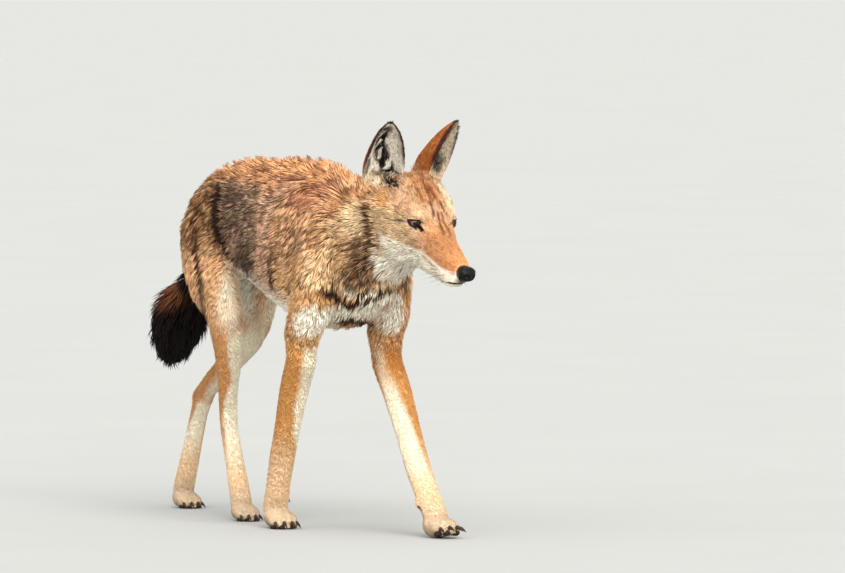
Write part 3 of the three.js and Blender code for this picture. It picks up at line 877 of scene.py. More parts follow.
def paint_legs(canvas, p, n):
    """Tan outside, white inside and in front, and cream feet."""
    for name, path in LEGS.items():
        side = 1 if "left" in name else -1
        hind = "hind" in name
        upper = ((52, 208, 400) if side > 0 else (-62, 130, 400)) if hind else (path[0][0], path[0][1], 350)
        path = np.array([upper, *path], float)
        far, piece, share = on_path(p, path)
        axis = path[piece] + (path[piece + 1] - path[piece]) * share[:, None]
        offset = (p - axis) / np.maximum(far, 6)[:, None]
        outer, ahead = offset[:, 0] * side, -offset[:, 1]
        reach = 62 if hind else 52
        mine = ease(far, reach, reach - 14) * ease(p[:, 2], 345 if hind else 322, 300)
        inward = ahead if name == "hind_left" else -0.891 * outer + 0.454 * ahead
        limit = np.interp(p[:, 2], *INNER_WHITE[name]) + 0.06 * waves(p, 14, 2.0)
        canvas.stroke(mine, paint("d69a57") if not hind else paint("d59b63"), 0.03, 0.1)
        if name == "fore_left":
            canvas.stroke(mine * ease(p[:, 2], 230, 290), paint("c98646"), 0.1, 0.1)
        canvas.stroke(mine * ease(p[:, 2], 190, 90), paint("ebc79c"), 0.02, 0.1)
        white = ease(inward, limit - 0.22, limit + 0.22)
        if hind:
            white *= ease(outer, 0.9, 0.4) if side > 0 else 1
        canvas.stroke(mine * white, paint("f9ecd2"), 0.0, 0.1)
        canvas.stroke(mine * white * ease(p[:, 2], 150, 60), paint("ebc89e"), 0.0, 0.1)
        canvas.stroke(mine * ease(p[:, 2], 70, 25) * 0.9, paint("c6b093"), 0.02, 0.1)


# %% Head and ears
def paint_head(canvas, p, n):
    h = to_head(p)
    mine = (
        ease(np.linalg.norm((h - (0, 0, -20)) / (92, 128, 92), axis=1), 1.06, 0.94) * ease(h[:, 1], 96, 72)
    )
    hx, hy, hz = h.T
    wide = np.abs(hx)
    m = one_side(h)

    def stroke(mask, *rest):
        canvas.stroke(mine * mask, *rest)

    stroke(np.ones(len(p)), paint("deb088"), 0.3, 0.34)
    stroke(ease(hz, 20, 34) * ease(wide, 38, 18), paint("c88e5c"), 0.34, 0.25)
    stroke(ease(hz, 12, -6) * ease(hy, -30, -14) * ease(wide, 30, 40), paint("e0bd93"), 0.3, 0.4)
    stroke(blob(m, (64, 74, 8), (20, 26, 16), 0.5), OCHRE, 0.12, 0.2)
    line = np.interp(
        hy, [-116, -106, -82, -57, -39, -26, 10, 60], [-31, -34.5, -39, -39.5, -38, -38, -42, -49]
    )
    behind = np.interp(hz, [-50, -38, -17, 0, 12], [-57, -39, -28, -32, -44])
    red = ease(hy + 3 * waves(h, 5, 2.0), behind + 8, behind - 10)
    stroke(ease(hy, -12, -34) * ease(wide, 34, 24) * ease(hz, -30, -10), paint("dba06c"), 0.2, 0.2)
    stroke(red * ease(wide, 40, 26), ORANGE, 0.14, 0.16)
    stroke(red * ease(hy, -60, -100) * ease(hz, line, line + 14), paint("d49460"), 0.14, 0.12)
    stroke(ease(hz, line + 2.5, line - 2.5) * ease(hy, 70, 45), WHITE, 0.03, 0.5)
    stroke(
        tube(m, [(24, -34, -44), (20, -56, -47), (17, -82, -44), (13, -106, -37)], 2.2, 0.8) * 0.5,
        RUST, 0.3, 0.2,
    )
    for row, lift in enumerate((0, -4.5, -9)):
        for column in range(5):
            spot = (21.5 - column * 1.9, -56 - column * 8 - row * 3, -47.5 + lift + column * 0.9)
            stroke(blob(m, spot, (1.8, 2.4, 1.1), 0.5) * 0.85, UMBER, 0.5, 0.0)
    stroke(blob(m, (36, -3, 15), (15, 7, 4.2), 0.5), PALE * 1.1, 0.05, 0.6)
    stroke(blob(m, (38, -7, -15), (12, 9, 4), 0.6), paint("d8b58e"), 0.25, 0.4)
    stroke(
        ease(hx, 12, 30) * ease(hy, -14, 4) * ease(hz, -2, 12) * ease(hy, 62, 40), paint("efd3ae"), 0.2, 0.4
    )
    # a dark line down the groove beside the bridge of the nose: painted shade in the groove
    stroke(
        tube(m, [(4, -12, 18), (4, -22, 11), (5, -34, 5), (6, -46, -0.5)], 2.6, 0.7) * 0.8,
        RUST * 0.5, 0.6, 0.0,
    )
    # dark strokes between the eyes, in the furrow of the brow and along the edge of the jaw muscle: painted
    # shade in these creases
    stroke(tube(m, [(9, 6, 29), (10, -6, 22.5), (12, -15, 16)], 2.4, 0.7) * 0.8, UMBER, 0.6, 0.0)
    stroke(tube(m, [(3, 56, 43.5), (4, 30, 37.5), (5, 12, 31)], 3.4, 0.8) * 0.85, RUST * 0.8, 0.6, 0.0)
    stroke(tube(m, [(20, 44, 40.5), (19, 26, 35), (21, 8, 28.5)], 2.6, 0.8) * 0.6, RUST, 0.5, 0.1)
    stroke(
        tube(m, [(46.5, 8, -2), (49, 16, -6), (51, 24, -8), (53, 32, -11)], 2.0, 0.7) * 0.8,
        SOOT * 1.5, 0.6, 0.0,
    )
    stroke(
        tube(m, [(36, -4, -4), (31.5, -10, -3), (30, -16, -4), (29, -20, -6)], 3.0, 0.35),
        SOOT * 0.8, 0.9, 0.0,
    )
    stroke(tube(m, [(44, 0, 3), (51, 11, 1)], 2.8, 0.4), SOOT * 0.8, 0.9, 0.0)
    for side in (1, -1):
        gap, far = lid_gap(h, side)
        stroke(ease(gap, 3.5, 2.4) * ease(far, 19, 15), SOOT * 0.6, 0.9, 0.0)
    lips = on_path(m, MOUTH)[0]
    stroke(ease(lips, 3.6, 2.4) * ease(hy, -78, -90), SOOT * 0.6, 0.6, 0.0)
    stroke(ease(lips, 2.4, 1.2) * ease(hy, -90, -70) * 0.55, UMBER, 0.5, 0.1)
    stroke(ease(hy, -108, -116) * ease(hz, -18, -26) * ease(hz, -54, -46), SOOT * 1.2, 0.5, 0.0)
    for side in (1, -1):
        paint_ear(canvas, n, h, side)


def paint_ear(canvas, n, h, side):
    e = to_ear(h, side)
    _, ey, ez = e.T
    normal = (n @ HEAD_TURN) @ EAR_TURN[side]
    facing, rim = ear_side(e, normal, side)
    mine = ease(ez, 0, 12) * ease(rim, -6, -2) * ease(ey, -22, -14) * ease(ey, 54, 48)
    mine *= np.maximum(ease(ez, 14, 24), ease(ey, -4, 6))
    cup = ease(facing, -0.15, 0.25)
    behind = mine * ease(ez, 12, 26)
    canvas.stroke(behind, paint("9c5726"), 0.25, 0.05)
    canvas.stroke(mine * cup, paint("e8decd" if side < 0 else "cbbca4"), 0.08, 0.3)
    inner = mine * cup
    foot = blob(e, (side * 9, 6, 6), (18, 22, 9), 0.3) * ease(normal[:, 2] - normal[:, 1], -0.2, 0.3)
    canvas.stroke(foot * ease(ez, 16, 12), paint("ecd9b8"), 0.1, 0.3)
    m = e * (side, 1, 1)  # x towards the ear's outer edge
    black = [
        (6, 14, 94), (9, 20, 66), (2, 28, 43), (-5, 26, 25), (-14, 21, 12), (-13, -2, 12), (-14, -22, 12)
    ]
    hairs = ease(waves(m * (1, 1, 0.3), 2.2, 1.0), 0.55, 0.15)  # white hairs lie over the black
    canvas.stroke(
        np.maximum(inner, ease(normal[:, 2] - normal[:, 1], -0.2, 0.3))
        * tube(m, black, 12 if side < 0 else 7, 0.4) * hairs,
        SOOT, 0.75, 0.05,
    )
    canvas.stroke(inner * blob(m, (27, 14, 26), (6, 22, 15), 0.5), SOOT, 0.6, 0.2)
    canvas.stroke(inner * blob(m, (0, 14, 96), (9, 20, 9), 0.6) * 0.6, paint("4a3a34"), 0.5, 0.2)
    edge = ease(rim, 5.0, 2.2) * ease(ey, 10, 5) * ease(ez, 26, 50) + ease(ez, 106, 112)
    canvas.stroke(mine * np.clip(edge, 0, 1), paint("3c2118"), 0.6, 0.0)


def markings(points, normals):
    """Paints points of the drawing frame. Gives their colour, dark share and pale share."""
    canvas = Canvas(len(points))
    for part in (paint_body, paint_legs, paint_chest, paint_neck, paint_tail, paint_head):
        part(canvas, points, normals)
    return np.clip(canvas.colour, 0.004, 1), np.clip(canvas.dark, 0, 0.95), np.clip(canvas.pale, 0, 0.95)


points = to_drawing(places(skin.data))
normals = outward(skin.data)
skin_colour, _, _ = markings(points, normals)
print("painted", len(points), "points of the skin")

# %% [markdown]
# ## Materials for skin and coat
# The markings are kept on the mesh as a colour attribute, and the materials read it. Skin shows only
# between the locks and on the face, where the hair is a few millimetres long: there a fine noise, drawn
# out by a bump, stands for the hairs that are too small to model.


# %% Colour attribute and materials
def add_colour(mesh, colours):
    """Keeps colours on a mesh's points, as the attribute that the materials read."""
    layer = mesh.color_attributes.new("coat", "FLOAT_COLOR", "POINT")
    full = np.ones((len(mesh.vertices), 4), np.float32)
    full[:, :3] = colours
    layer.data.foreach_set("color", full.ravel())


def add_node(tree, kind, operation=None, **values):
    """A new node with some of its inputs set. In an input's name, _ stands for a space."""
    made = tree.nodes.new(kind)
    if operation:
        made.operation = operation
    for label, value in values.items():
        made.inputs[label.replace("_", " ")].default_value = value
    return made


def wire(tree, *ends):
    """Links nodes. Each of the ends is: a node, its output, the next node, and the input there."""
    for giver, output, taker, entry in ends:
        tree.links.new(giver.outputs[output], taker.inputs[entry])


def new_look(name, **values):
    """A new material, its node tree, and its shader with some inputs set."""
    material = bpy.data.materials.new(name)
    material.use_nodes = True
    shader = material.node_tree.nodes["Principled BSDF"]
    for label, value in values.items():
        shader.inputs[label.replace("_", " ")].default_value = value
    return material, material.node_tree, shader


def coat_material(name, roughness, bump, scale, sheen):
    """Colour from the attribute with a little mottling, and fine hair bump."""
    material, tree, shader = new_look(
        name, Roughness=roughness, Specular_IOR_Level=0.1, Sheen_Weight=sheen, Sheen_Roughness=0.5
    )
    attribute = add_node(tree, "ShaderNodeAttribute")
    attribute.attribute_name = "coat"
    where = add_node(tree, "ShaderNodeTexCoord")
    mottle = add_node(tree, "ShaderNodeTexNoise", Scale=160, Detail=3)
    levels = add_node(tree, "ShaderNodeMapRange", From_Min=0.3, From_Max=0.7, To_Min=0.92, To_Max=1.07)
    tint = add_node(tree, "ShaderNodeVectorMath", "SCALE")
    hair = add_node(tree, "ShaderNodeTexNoise", Scale=scale, Detail=2)
    raised = add_node(tree, "ShaderNodeBump", Strength=bump, Distance=0.0006)
    wire(
        tree,
        (where, "Object", mottle, "Vector"),
        (mottle, "Fac", levels, "Value"),
        (attribute, "Color", tint, 0),
        (levels, "Result", tint, "Scale"),
        (tint, "Vector", shader, "Base Color"),
        (where, "Object", hair, "Vector"),
        (hair, "Fac", raised, "Height"),
        (raised, "Normal", shader, "Normal"),
    )
    return material


# where the coat is long, the skin between the locks is painted darker: painted shade under the coat
coat_shade_share = np.clip((coat_at(points)[:, 1:2] - 7) / 15, 0, 1)
add_colour(skin.data, skin_colour * (1.0 - 0.28 * coat_shade_share))
skin_look = coat_material("skin_look", 0.8, 0.5, 900, 0.1)
coat_look = coat_material("coat_look", 0.75, 0.1, 1400, 0.0)
skin.data.materials.clear()
skin.data.materials.append(skin_look)
skin.data.shade_smooth()
print("the skin carries its markings")

# %% [markdown]
# ## The coat
# Hair curves would be the usual tool, but this coat has to be plain mesh. So each lock is a thin closed
# wedge with three sides: a root ring, one or two rings along its length and a point. A lock starts just
# under the skin, runs along the lie of the hair, is laid on the skin again at every ring, and rises
# towards its tip. Locks lean towards a neighbour that leads the clump, as real fur parts into clumps, and
# a dark or pale tip is shared by most of a clump, which gives the grizzled look.


# %% Where the locks stand
rng = np.random.default_rng(7)
LOCKS, LOCKS_IN_A_CLUMP = 112000, 9
LESS = 1.0


def scatter(mesh, most):
    """Roots of locks on the skin: their places and normals, in the drawing frame."""
    mesh.calc_loop_triangles()
    corners = np.empty(len(mesh.loop_triangles) * 3, np.int32)
    mesh.loop_triangles.foreach_get("vertices", corners)
    corners = corners.reshape(-1, 3)
    p, n = to_drawing(places(mesh)), outward(mesh)
    a, b, c = (p[corners[:, i]] for i in range(3))
    area = np.linalg.norm(np.cross(b - a, c - a), axis=1) / 2
    middle = (a + b + c) / 3
    wanted = area / coat_at(middle)[:, 3]
    wanted *= bare(middle)
    wanted *= min(most / wanted.sum(), 1.3)
    steps = np.floor(np.cumsum(wanted) + rng.random())
    count = np.diff(np.concatenate([[0], steps])).astype(int)
    face = np.repeat(np.arange(len(count)), count)
    u, v = rng.random((2, len(face)))
    flip = u + v > 1
    u[flip], v[flip] = 1 - u[flip], 1 - v[flip]
    weights = np.stack([1 - u - v, u, v], 1)
    root = np.einsum("ij,ijk->ik", weights, p[corners[face]])
    normal = np.einsum("ij,ijk->ik", weights, n[corners[face]])
    return root, normal / np.linalg.norm(normal, axis=1)[:, None]


def bare(points):
    """0 where no hair grows: on the eyes, lids' edges, lips and nose."""
    h = to_head(points)
    hairy = np.ones(len(points))
    for side in (1, -1):
        gap, far = lid_gap(h, side)
        hairy *= 1 - ease(gap, 3.2, 2.2) * ease(far, 18, 14)
    lips = on_path(one_side(h), MOUTH)[0]
    hairy *= ease(lips + 1.4 * ease(h[:, 1], -95, -75), 2.6, 3.8)
    hairy *= ease(np.linalg.norm((h - (0, -121, -35)) / (15, 13, 14), axis=1), 0.95, 1.05)
    hairy *= ease(points[:, 2], 3, 7)
    return hairy


roots, root_normals = scatter(skin.data, LOCKS * LESS)
facts, flow, area = coat_at(roots, root_normals)
print(len(roots), "locks:", {name: int((area == name).sum()) for name in dict.fromkeys(AREAS)})

# %% [markdown]
# The waves also turn the lie of the hair a little from place to place.


# %% Shape the spines
across = np.cross(root_normals, flow)
swing = 0.22 * waves(roots, 21, 1.0) + 0.14 * waves(roots, 7, 4.0) + rng.normal(0, 0.07, len(roots))
quiet = np.where(facts[:, 1] < 12, 0.6, 1.0)
flow = flow * np.cos(swing * quiet)[:, None] + across * np.sin(swing * quiet)[:, None]

in_cup = np.zeros(len(roots), bool)
for side in (1, -1):
    e = to_ear(to_head(roots), side)
    facing, _ = ear_side(e, root_normals @ HEAD_TURN @ EAR_TURN[side], side)
    in_cup |= (
        (facing > 0.2) & (e[:, 2] > 4) & (e[:, 2] < 108) & (np.abs(e[:, 0]) < 42)
        & (np.abs(e[:, 1] - 12) < 32)
    )
facts[in_cup, :2] = (2.2, 10)  # the depth and length of the hair inside an ear
length = facts[:, 1] * rng.uniform(0.8, 1.2, len(roots))
leaders = rng.choice(len(roots), max(len(roots) // LOCKS_IN_A_CLUMP, 10), replace=False)
tree = KDTree(len(leaders))
for place, leader in enumerate(leaders):
    tree.insert(roots[leader], place)
tree.balance()
lead = leaders[[tree.find(root)[1] for root in roots]]
clump_luck = rng.random(len(roots))[lead]
clump_tone = rng.normal(0, 1, len(roots))[lead]
# ruffled hair on the back
ridge = ease(roots[:, 2], 545, 585) * ease(roots[:, 1], -280, -200) * ease(roots[:, 1], 200, 120)
clump_rise = (1 + (0.18 + 0.4 * ridge) * rng.uniform(-1, 1, len(roots)))[lead]
toward = roots[lead] - roots
toward -= root_normals * np.sum(toward * root_normals, axis=1)[:, None]
pull = np.clip((facts[:, 1] - 10) / 16, 0.06, 0.75)

TAIL_DEPTH = 1.4  # the brush stands off further than its coat lines say
STOPS = {"long": [0, 0.35, 0.7, 1.0], "short": [0, 0.55, 1.0]}
skin_tree = BVHTree.FromPolygons(
    [tuple(v) for v in to_drawing(places(skin.data))], [tuple(p.vertices) for p in skin.data.polygons]
)


def spines(rows, stops):
    """The points along each lock and the skin's normal at each."""
    line, lifted = [], []
    depth = facts[rows, 0] * clump_rise[rows] * rng.uniform(0.85, 1.1, len(rows))
    depth *= np.where(area[rows] == "tail", TAIL_DEPTH, 1.0)
    for t in stops:
        flat = (
            roots[rows] + flow[rows] * (length[rows] * t)[:, None]
            + toward[rows] * (pull[rows] * t**1.3)[:, None]
        )
        if t == 0:
            line.append(roots[rows] - root_normals[rows] * 0.6)
            lifted.append(root_normals[rows])
            continue
        rise = depth * (0.62 * t**0.6 + 0.38 * t**2) + 0.25
        spot, normal = [], []
        for q in flat:
            found = skin_tree.find_nearest(q)
            spot.append(found[0])
            normal.append(found[1])
        spot, normal = np.array(spot), np.array(normal)
        through = np.sum(normal * root_normals[rows], axis=1) < 0  # the other side of a thin ear
        spot[through], normal[through] = flat[through], root_normals[rows][through]
        # past a sharp edge, such as the tail's end, a lock runs on instead of bending round
        off = flat - spot
        gap = np.linalg.norm(off, axis=1)
        on = np.clip(gap - 1 - 0.12 * length[rows] * t, 0, None) / np.maximum(gap, 1e-6)
        on *= np.sum(off * normal, axis=1) > 0
        spot += off * on[:, None]
        rise = rise * (1 - 0.9 * np.clip(on * 1.5, 0, 1))
        line.append(spot + normal * rise[:, None])
        lifted.append(normal)
    return np.array(line), np.array(lifted)


def build_locks(rows, kind):
    """Closed locks: points (locks, points, 3), the faces of one lock, and how far along its points lie."""
    stops = STOPS[kind]
    line, lifted = spines(rows, stops)
    rings = len(stops) - 1
    widths = np.interp(stops[:-1], [0, 0.35, 0.7, 1], [0.55, 1, 0.72, 0])
    parts, along = [], []
    for k in range(rings):
        ahead = line[k + 1] - line[max(k - 1, 0)]
        side = np.cross(lifted[k], ahead)
        side /= np.maximum(np.linalg.norm(side, axis=1), 1e-9)[:, None]
        up = np.cross(ahead, side)
        up /= np.maximum(np.linalg.norm(up, axis=1), 1e-9)[:, None]
        half = (facts[rows, 2] * widths[k] / 2)[:, None]
        parts += [
            line[k] - side * half, line[k] + side * half,
            line[k] + up * half * (0.6 if kind == "long" else 0.35),
        ]
        along += [stops[k]] * 3
    parts.append(line[-1])
    along.append(1.0)
    faces = [(0, 1, 2)]
    for k in range(rings - 1):
        for i, j in ((0, 1), (1, 2), (2, 0)):
            a, b, c, d = 3 * k + i, 3 * k + j, 3 * k + 3 + j, 3 * k + 3 + i
            faces += [(a, c, b), (a, d, c)]
    last = 3 * (rings - 1)
    faces += [(last + i, 3 * rings, last + j) for i, j in ((0, 1), (1, 2), (2, 0))]
    return np.stack(parts, 1), np.array(faces), np.array(along)


print("clumps:", len(leaders))

# %% [markdown]
# A long lock is darkest at its root, where neighbours shade it, and lightest at its tip, unless the tip is
# dark or pale. Short hair has one tone from root to tip. The choice of tips is mostly the clump's, so dark
# hairs come in strands and patches.


# %% Colour the locks
# a lock lies over the skin behind its root, so its markings are read from where it shows
shift = np.clip((facts[:, 1] - 8) / 10, 0, 1)[:, None]
shown = roots + shift * (flow * (length * 0.75)[:, None] + root_normals * (facts[:, 0] * 0.8)[:, None])
body_colour, dark_share, pale_share = markings(shown, root_normals)
squeezed = roots - flow * (0.78 * np.sum(roots * flow, axis=1))[:, None]  # streaks are long along the hair
streak = 0.5 + 0.3 * waves(squeezed, 1.9, 0.5) + 0.2 * waves(roots, 10, 3.0)
shared = np.where(facts[:, 1] > 14, streak, clump_luck)
luck = 0.36 * clump_luck + 0.22 * rng.random(len(roots)) + 0.42 * shared
luck = np.argsort(np.argsort(luck)) / len(luck)  # even between 0 and 1 again
is_dark = luck < dark_share
is_pale = luck > 1 - pale_share
unrest = np.clip(facts[:, 1] / 22, 0.25, 1.1)
tone = np.exp(unrest * (0.09 * clump_tone + rng.normal(0, 0.06, len(roots))))[:, None]


def lock_colours(rows, along):
    """The colour of every point of every lock."""
    base = (body_colour * tone)[rows]
    long = np.clip((facts[rows, 1] - 7) / 15, 0, 1)[:, None, None]
    tip = base * (1 + 0.08 * long[:, 0])
    tip = np.where(is_dark[rows, None], tip * 0.22 + SOOT * 1.6 * 0.78, tip)
    tip = np.where(
        is_pale[rows, None], tip * 0.35 + np.maximum(base * 1.1, (PALE * 1.15 + base) / 2) * 0.65, tip
    )
    middle = base * (1 - 0.03 * long[:, 0]) + (tip - base) * (0.1 + 0.35 * long[:, 0])
    dim = 1.0 - 0.22 * long
    shares = along[None, :, None]
    colours = np.where(
        shares < 0.5, base[:, None] * dim + (middle[:, None] - base[:, None] * dim) * shares * 2,
        middle[:, None] + (tip - middle)[:, None] * (shares * 2 - 1),
    )
    return np.clip(colours, 0.003, 0.95)


print(
    round(100 * is_dark.mean()), "% of the locks have dark tips,", round(100 * is_pale.mean()), "% pale ones"
)

# %% [markdown]
# For baking, each lock gets a small square of the map at its root's place. The map is the skin's own shape
# rolled out: how far along the limb the root stands, and at what angle round it.

# %% Rolling out the skin
SPINE_OF = {
    "face": [from_head((0, -125, -45)), from_head((0, 80, 0))],
    "neck": [(14, -420, 500), (0, -240, 440)],
    "trunk": [(0, -330, 400), (0, -100, 470), (0, 310, 490)],
    "tail": TAIL,
    **LEGS,
}
for name, top in (("hind_left", (60, 215, 480)), ("hind_right", (-70, 140, 480))):
    SPINE_OF[name] = [top, *LEGS[name]]


def rolled_out(points, path):
    """Place on the map: angle round the path and length along it, both from 0 to 1."""
    path = [np.array(v, float) for v in path]
    sizes = [np.linalg.norm(b - a) for a, b in zip(path, path[1:])]
    _, piece, share = on_path(points, path)
    v = (np.cumsum([0, *sizes])[piece] + share * np.array(sizes)[piece]) / sum(sizes)
    u = np.zeros(len(points))
    for k, (a, b) in enumerate(zip(path, path[1:])):
        rows = piece == k
        ahead = (b - a) / np.linalg.norm(b - a)
        side = np.cross(ahead, (0, 0, 1) if abs(ahead[2]) < 0.8 else (0, 1, 0))
        side /= np.linalg.norm(side)
        offset = points[rows] - a
        u[rows] = np.arctan2(offset @ np.cross(ahead, side), offset @ side) / (2 * math.pi) + 0.5
    return np.stack([u, v], 1) * 0.98 + 0.01


def map_places(rows, name):
    """Places of locks on the map. Each ear has half of its piece's map."""
    if name != "ears":
        return rolled_out(roots[rows], SPINE_OF[name])
    made = np.zeros((len(rows), 2))
    h = to_head(roots[rows])
    for side, shift in ((1, 0.0), (-1, 0.5)):
        mine = (h[:, 0] > 0) == (side > 0)
        found = rolled_out(to_ear(h[mine], side), [(0, 14, 0), (0, 10, 118)])
        made[mine] = found * (0.5, 1) + (shift, 0)
    return made


# %% Build the coat pieces
def coat_piece(name, rows, kind):
    """One mesh of many locks, with colours and the map for baking."""
    parts, faces, along = build_locks(rows, kind)
    parts[:, :, 2] = np.maximum(parts[:, :, 2], 0.3)  # no lock reaches into the floor
    count, per = parts.shape[:2]
    corners = (faces[None] + (np.arange(count) * per)[:, None, None]).reshape(-1, 3)
    mesh = bpy.data.meshes.new(name)
    mesh.vertices.add(count * per)
    mesh.vertices.foreach_set("co", to_room(parts.reshape(-1, 3)).astype(np.float32).ravel())
    mesh.loops.add(corners.size)
    mesh.loops.foreach_set("vertex_index", corners.astype(np.int32).ravel())
    mesh.polygons.add(len(corners))
    mesh.polygons.foreach_set("loop_start", np.arange(0, corners.size, 3, dtype=np.int32))
    mesh.update(calc_edges=True)
    mesh.shade_smooth()
    add_colour(mesh, lock_colours(rows, along).reshape(-1, 3))
    spot = map_places(rows, name.replace("coat_", "").replace("_upper", ""))
    corner_shift = np.stack([(np.arange(per) % 3 - 1) * 0.0014, (along - 0.5) * 0.0028], 1)
    squares = spot[:, None, :] + corner_shift[None]
    layer = mesh.uv_layers.new(name="OFBake")
    layer.data.foreach_set("uv", squares.reshape(-1, 2)[corners.ravel()].astype(np.float32).ravel())
    mesh.materials.append(coat_look)
    thing = stand(name, mesh)
    print(name, count, "locks,", len(corners), "faces")
    return thing


LONG = {"neck", "trunk", "tail"}
MOST = {"long": 12000, "short": 19500}
coat_pieces = []
for name in dict.fromkeys(AREAS):
    rows = np.flatnonzero(area == name)
    kind = "long" if name in LONG else "short"
    parts = math.ceil(len(rows) / MOST[kind])
    order = np.argsort(roots[rows, 1] if name in LONG else roots[rows, 2], kind="stable")
    for part, chosen in enumerate(np.array_split(rows[order], parts)):
        piece = coat_piece("coat_" + name, np.sort(chosen), kind)
        piece.name = f"coat_{name}_{part + 1}" if parts > 1 else "coat_" + name
        coat_pieces.append(piece)
print(len(coat_pieces), "pieces of coat,", sum(len(c.data.polygons) for c in coat_pieces), "faces")

# %% [markdown]
# ## The eyes
# A canid's eye is mostly iris: dark rim, amber-brown ring and a round pupil. The ball is a plain sphere
# with the cornea bulging a little along the line of sight, so highlights sit right, and a clear coat makes
# it wet. The rings are read from the height along that line, so they follow the ball wherever it looks.


# %% Eyeballs
def eye_ball(side):
    """One eye, with its cornea and the rings of its iris."""
    centre = to_room(from_head(EYE[side]))
    gaze = HEAD_TURN @ GAZE[side]
    made = bmesh.new()
    bmesh.ops.create_uvsphere(made, u_segments=48, v_segments=32, radius=EYE_RADIUS * MM)
    made.transform(Vector((0, 0, 1)).rotation_difference(Vector(gaze)).to_matrix().to_4x4())
    for v in made.verts:
        height = v.co.dot(Vector(gaze)) / (EYE_RADIUS * MM)
        v.co *= 1 + 0.07 * float(ease(height, 0.72, 0.98))
    bmesh.ops.translate(made, verts=made.verts, vec=Vector(centre))
    mesh = bpy.data.meshes.new("eye")
    made.to_mesh(mesh)
    made.free()
    mesh.shade_smooth()
    name = "left" if side > 0 else "right"
    thing = stand("eyeball_" + name, mesh)

    material, tree, shader = new_look(
        "eye_look_" + name, Roughness=0.12, Specular_IOR_Level=0.25, Coat_Weight=0.3, Coat_Roughness=0.02
    )
    where = add_node(tree, "ShaderNodeTexCoord")
    offset = add_node(tree, "ShaderNodeVectorMath", "SUBTRACT")
    offset.inputs[1].default_value = tuple(centre)
    height = add_node(tree, "ShaderNodeVectorMath", "DOT_PRODUCT")
    height.inputs[1].default_value = tuple(gaze / (EYE_RADIUS * MM))
    streaks = add_node(tree, "ShaderNodeTexNoise", Scale=900)
    mixed = add_node(tree, "ShaderNodeMath", "MULTIPLY_ADD")
    mixed.inputs[1].default_value = 0.02
    scaled = add_node(tree, "ShaderNodeMapRange", From_Min=0.4, From_Max=1.07)
    ramp = add_node(tree, "ShaderNodeValToRGB")
    ramp.color_ramp.interpolation = "EASE"
    stops = [
        (0.0, paint("33241c")),  # the white of the eye, which is brown on a wolf
        (0.34, paint("2a1b14")),
        (0.42, paint("120b08")),  # the dark rim of the iris
        (0.50, paint("553321")),
        (0.74, paint("7a4c2b")),
        (0.87, paint("4c2d19")),
        (0.90, paint("050404")),  # the pupil
    ]
    while len(ramp.color_ramp.elements) < len(stops):
        ramp.color_ramp.elements.new(0.5)
    for element, (place, colour) in zip(ramp.color_ramp.elements, stops):
        element.position, element.color = place, (*colour, 1)
    wire(
        tree,
        (where, "Object", offset, 0),
        (offset, "Vector", height, 0),
        (where, "Object", streaks, "Vector"),
        (streaks, "Fac", mixed, 0),
        (height, "Value", mixed, 2),
        (mixed, "Value", scaled, "Value"),
        (scaled, "Result", ramp, "Fac"),
        (ramp, "Color", shader, "Base Color"),
    )
    mesh.materials.append(material)
    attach(thing, "root")
    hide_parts("eye_" + name)


for side in (1, -1):
    eye_ball(side)
print("two eyes of", 2 * EYE_RADIUS, "mm")

# %% [markdown]
# ## Nose, claws, pads and whiskers
# The nose is a pad of wet pebbled leather, with a groove down its middle and a comma-shaped nostril on
# each side that opens to the front and slits backwards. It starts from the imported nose, melted and
# smoothed, and the nostrils are pressed in like the folds of the face.


# %% Leather and horn
def plain_leather(name, colour, other, roughness, scale, bump, wet=0.0):
    """A surface of small raised cells in two colours, with a clear coat where it is wet."""
    material, tree, shader = new_look(
        name, Roughness=roughness, Specular_IOR_Level=0.13, Coat_Weight=wet, Coat_Roughness=0.25
    )
    where = add_node(tree, "ShaderNodeTexCoord")
    cells = add_node(tree, "ShaderNodeTexVoronoi", Scale=scale)
    ramp = add_node(tree, "ShaderNodeValToRGB")
    ramp.color_ramp.elements[0].color, ramp.color_ramp.elements[1].color = (*colour, 1), (*other, 1)
    raised = add_node(tree, "ShaderNodeBump", Strength=bump, Distance=0.0005)
    raised.invert = True
    wire(
        tree,
        (where, "Object", cells, "Vector"),
        (cells, "Distance", ramp, "Fac"),
        (cells, "Distance", raised, "Height"),
        (ramp, "Color", shader, "Base Color"),
        (raised, "Normal", shader, "Normal"),
    )
    return material


nose_look = plain_leather("nose_look", paint("0b0908"), paint("040303"), 0.42, 800, 0.9, 0.05)
pad_look = plain_leather("pad_look", paint("3a302c"), paint("1d1714"), 0.8, 900, 0.6)
horn_look = plain_leather("horn_look", paint("4a3b31"), paint("231a15"), 0.4, 500, 0.15)

# %% The nose
nose = stand("nose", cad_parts["nose_pad"].data.copy())
melt(nose, NOSE_VOXEL)
soften(nose, 60)
settle(nose)
points = to_head(to_drawing(places(nose.data)))
normals = outward(nose.data) @ HEAD_TURN
print("the nose spans", np.round(points.min(0), 1), "to", np.round(points.max(0), 1), "in the head's frame")
low, high = points.min(0), points.max(0)
centre = (low + high) / 2
m = one_side(points)
front = low[1]
nostril = [
    (5.2, front + 1, centre[2] + 1.5), (8.0, front + 3, centre[2] + 0.5), (10.5, front + 8, centre[2] - 2.5)
]
press = (
    4.4 * np.exp(-((np.linalg.norm((m - (6.4, front + 1.5, centre[2] + 0.8)) / (3.2, 5, 3.4), axis=1)) ** 2))
)
press += 2.2 * np.exp(-((on_path(m, nostril)[0] / 1.3) ** 2))
press += 1.0 * np.exp(-((m[:, 0] / 0.8) ** 2)) * ease(points[:, 2], centre[2] + 3, centre[2] - 2)
points -= normals * press[:, None]
put(nose.data, to_room(from_head(points)))
nose.data.shade_smooth()
nose.data.materials.clear()
nose.data.materials.append(nose_look)
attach(nose, "root")
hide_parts("nose_pad")
